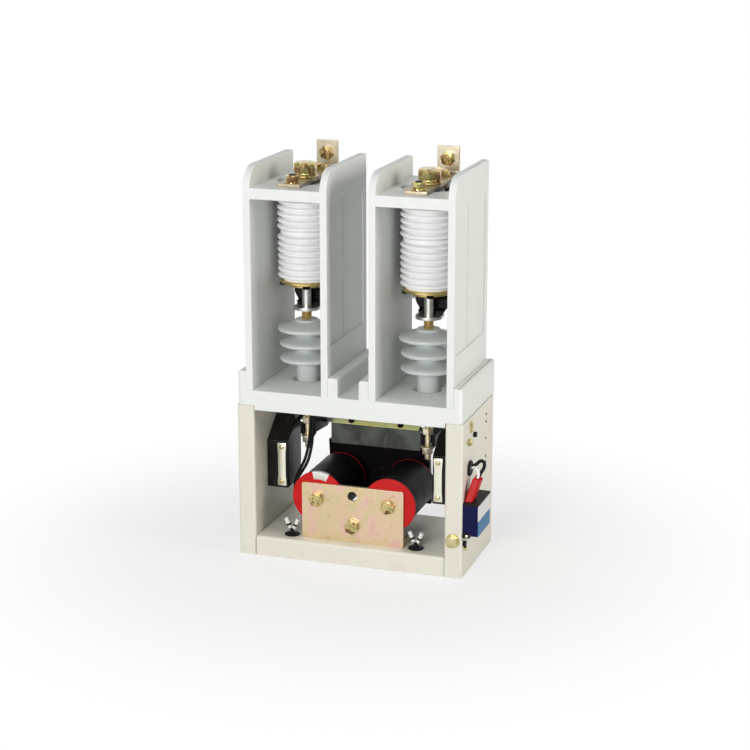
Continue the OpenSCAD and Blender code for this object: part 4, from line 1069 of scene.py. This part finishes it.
# Control module: a navy potted block with a black cap, on the outer face of the right post.
# Its outer face is pale above and blue below. A black clip with a bright screw holds its lower
# front corner.
def navy_case(at):
    place = at.node("ShaderNodeSeparateXYZ", {}, {"Vector": at}, "X")
    outer = place.rise(module_high.x - 0.9 * mm, module_high.x - 0.5 * mm)
    pale_part = height_of(at).rise(panel_line, panel_line + 0.4 * mm)
    cloud = noise(at, 60, 3)
    navy = cloud.between((0.004, 0.005, 0.040, 1), (0.008, 0.010, 0.066, 1))
    panel = pale_part.between((0.025, 0.15, 0.34, 1), (0.76, 0.76, 0.76, 1))
    return {
        "Base Color": outer.between(navy, panel),
        "Roughness": 0.26 + 0.16 * cloud,
        "Specular IOR Level": 0.1,
        "Normal": bump(noise(at, 1200, 2), 0.06, 0.1 * mm),
    }


module_low, module_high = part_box("control_module")
panel_line = 77.2 * mm
navy = make_material("navy_case", navy_case)
hand_over(dressed("control_module", 0.6 * mm), navy, "module_blue", "frame", "control_module")
hand_over(dressed("module_cap", 0.6 * mm), rubber, "cap_black", "frame", "module_cap")

clip_size = Vector((13, 12, 6)) * mm
clip_corner = Vector((post_face, module_low.y - 1.4 * mm, module_low.z - 3 * mm))
clip_taper = 4 * mm
clip_screw_place = clip_corner + Vector((6, 0, 3.4)) * mm
clip = block("module_clip", clip_corner + clip_size / 2, clip_size)
for vertex in clip.data.vertices:
    if vertex.co.x > post_face + 1 * mm and vertex.co.z < clip_corner.z + 1 * mm:
        vertex.co.x -= clip_taper
eased(clip, 1.2 * mm, 3)
bpy.ops.object.shade_smooth_by_angle(angle=math.radians(35))
hand_over(clip, switch_black, "cap_black", "frame")
clip_screw = slotted_screw("clip_screw", 1.9, 1.2)
stand(clip_screw, clip_screw_place, front, turn=50)
hand_over(clip_screw, bright_plate, "strip_plating", "frame")


# Lead connectors and leads: two red insulated connectors lean back on the module's cap.
# A black and a white lead loop to them from the bushing, and two black leads hang to the left coil.
def red_sleeve(at):
    cloud = noise(at, 90, 3)
    return {
        "Base Color": cloud.between((0.42, 0.005, 0.009, 1), (0.56, 0.013, 0.017, 1)),
        "Roughness": 0.3 + 0.14 * cloud,
        "Specular IOR Level": 0.08,
        "Normal": bump(noise(at, 1100, 2), 0.08, 0.1 * mm),
    }


def white_lead(at):
    soil = noise(at, 180, 3)
    return {
        "Base Color": soil.between((0.78, 0.78, 0.76, 1), (0.88, 0.88, 0.87, 1)),
        "Roughness": 0.32 + 0.15 * soil,
    }


connector_red = make_material("red_sleeve", red_sleeve)
connectors = dressed("lead_connectors", 1.3 * mm, 3)
hand_over(connectors, connector_red, "connector_red", "frame", "lead_connectors")

lead_white = make_material("white_lead", white_lead)
front_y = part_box("right_side_post")[0].y
post_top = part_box("right_side_post")[1].z
coil_start = Vector((0, front_y, 0))
post_start = Vector((post_face, front_y, 0))
inner_route = [(-66, 54, 209.5), (-66, 54, 190), (-66.5, 54, 167), (-67.5, 54, 149), (-70, 54, 132)]
inner_route += [(-75, 54, 115), (-84, 54, 99), (-90, 54, 88), (-91, 54, 78), (-87.5, 54, 71)]
inner_route += [(-80.6, 54, 69)]
outer_route = [(-71, 59, 209.5), (-71, 59, 190), (-71.5, 59, 167), (-73, 59, 149), (-76, 59, 132)]
outer_route += [(-81, 59, 115), (-89, 59, 99), (-93.5, 59, 86), (-93.5, 59, 74), (-88, 59, 64.5)]
outer_route += [(-78, 59, 61)]
black_route = [(4.2, 33.4, 140), (8.2, 33.9, 142), (11, 35, 144.8), (13.8, 36.8, 146.3)]
black_route += [(16.4, 38.8, 144.7), (17.5, 39.8, 140.6), (16.8, 38, 136), (15, 34.6, 132.4)]
black_route += [(13.3, 32, 128)]
white_route = [(4.2, 28.6, 138.6), (7, 27.4, 140), (9.8, 25.6, 140.2), (12.4, 24, 138.4)]
white_route += [(14.2, 23.2, 135.2), (14.5, 23.1, 131.9), (13.3, 21.5, 128)]
leads = {
    "inner_coil_lead": (inner_route, coil_start, 2.0, rubber, "lead_black", "hanging"),
    "outer_coil_lead": (outer_route, coil_start, 2.0, rubber, "lead_black", "hanging"),
    "black_module_lead": (black_route, post_start, 2.2, rubber, "lead_black", "loose"),
    "white_module_lead": (white_route, post_start, 1.6, lead_white, "lead_white", "loose"),
}
shortest_cord = 30 * mm
for node, (route, origin, lead_r, material, slot, lay) in leads.items():
    line = bpy.data.curves.new(node + "_line", "CURVE")
    line.dimensions = "3D"
    line.bevel_depth = lead_r * mm
    line.bevel_resolution = 4
    line.resolution_u = 8
    line.use_fill_caps = True
    spline = line.splines.new("BEZIER")
    spline.bezier_points.add(len(route) - 1)
    for knot, point in zip(spline.bezier_points, route):
        knot.co = origin + Vector(point) * mm
        knot.handle_left_type = "AUTO"
        knot.handle_right_type = "AUTO"
    lead = bpy.data.objects.new(node + "_line", line)
    scene.collection.objects.link(lead)
    hand_over(lead, material, slot, "frame", node)
    spline.calc_length() > shortest_cord


# Earth bolt: a brass hexagon bolt with its washer, low on the front of the right post.
# Small bolts on that post's outer face hold the switch behind it, black rivets fill the small holes
# of both posts, their black being painted shade of the holes, and a brass slide fills each slot.
earth_low, earth_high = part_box("earth_bolt")
earth_z = (earth_low.z + earth_high.z) / 2
earth_x = (earth_low.x + earth_high.x) / 2
disc = [(0, 0), (8.6, 0), (9, 0.4), (9, 1.6), (8.6, 2), (0, 2)]
disc_h = 2 * mm
earth_head = hexagon("earth_head", flats=13.5, height=7)
earth = [
    stand(turned("earth_washer", disc, 48), (earth_x, earth_high.y, earth_z), front),
    stand(earth_head, (earth_x, earth_high.y - disc_h, earth_z), front, turn=10),
]
hand_over(joined("brass_earth_bolt", earth), brass, "earth_brass", "frame", "earth_bolt")

bright_places = {(-48, 173): (9, 5), (-63, 37.5): (6, 4)}
bright = [
    stand(hexagon("post_bolt", flats, height), (post_face, y * mm, z * mm), outward, turn=12)
    for (y, z), (flats, height) in bright_places.items()
]
dark_places = {(-22.8, 175.6): 6.5, (-66, 45): 6.5}
dark = [
    stand(hexagon("post_nut", flats, 0.6 * flats), (post_face, y * mm, z * mm), outward, turn=25)
    for (y, z), flats in dark_places.items()
]
# Painted shade: the rivets are black so that the small holes read as dark dots.
rivet = [(0, -1), (1.75, -1), (1.75, 0), (1.2, 0.6), (0.5, 0.3), (0, 0.2)]
rivet_y = front_y + 110 * mm
for way, proud in ((-1, -0.8 * mm), (1, 0.1 * mm)):
    for share in (0.6, 0.64, 0.76, 0.87, 0.92):
        place = (way * (post_face + proud), rivet_y, share * post_top)
        dark.append(stand(turned("post_shade_rivet", rivet, 24), place, (way, 0, 0)))
slide_y = front_y + 35 * mm
slide_z = 190 * mm
slide_depth = 3.4 * mm
slide_taper = 0.16
for side, way, reach in (("left", -1, -2.2 * mm), ("right", 1, 3.5 * mm)):
    inner = way * (post_face - slide_depth)
    outer = way * (post_face + reach)
    slide_size = (abs(outer - inner), 3.2 * mm, 15 * mm)
    slide = block(side + "_slide", ((inner + outer) / 2, slide_y, slide_z), slide_size)
    for vertex in slide.data.vertices:
        if abs(vertex.co.x - outer) < 0.1 * mm:
            vertex.co.z += slide_taper * (slide_z - vertex.co.z)
    eased(slide, 0.5 * mm)
    hand_over(slide, brass, "earth_brass", "frame")
hand_over(joined("post_brass", bright), brass, "earth_brass", "frame")
hand_over(joined("post_nuts_and_shade_rivets", dark), coat_black, "rocker_black", "frame")
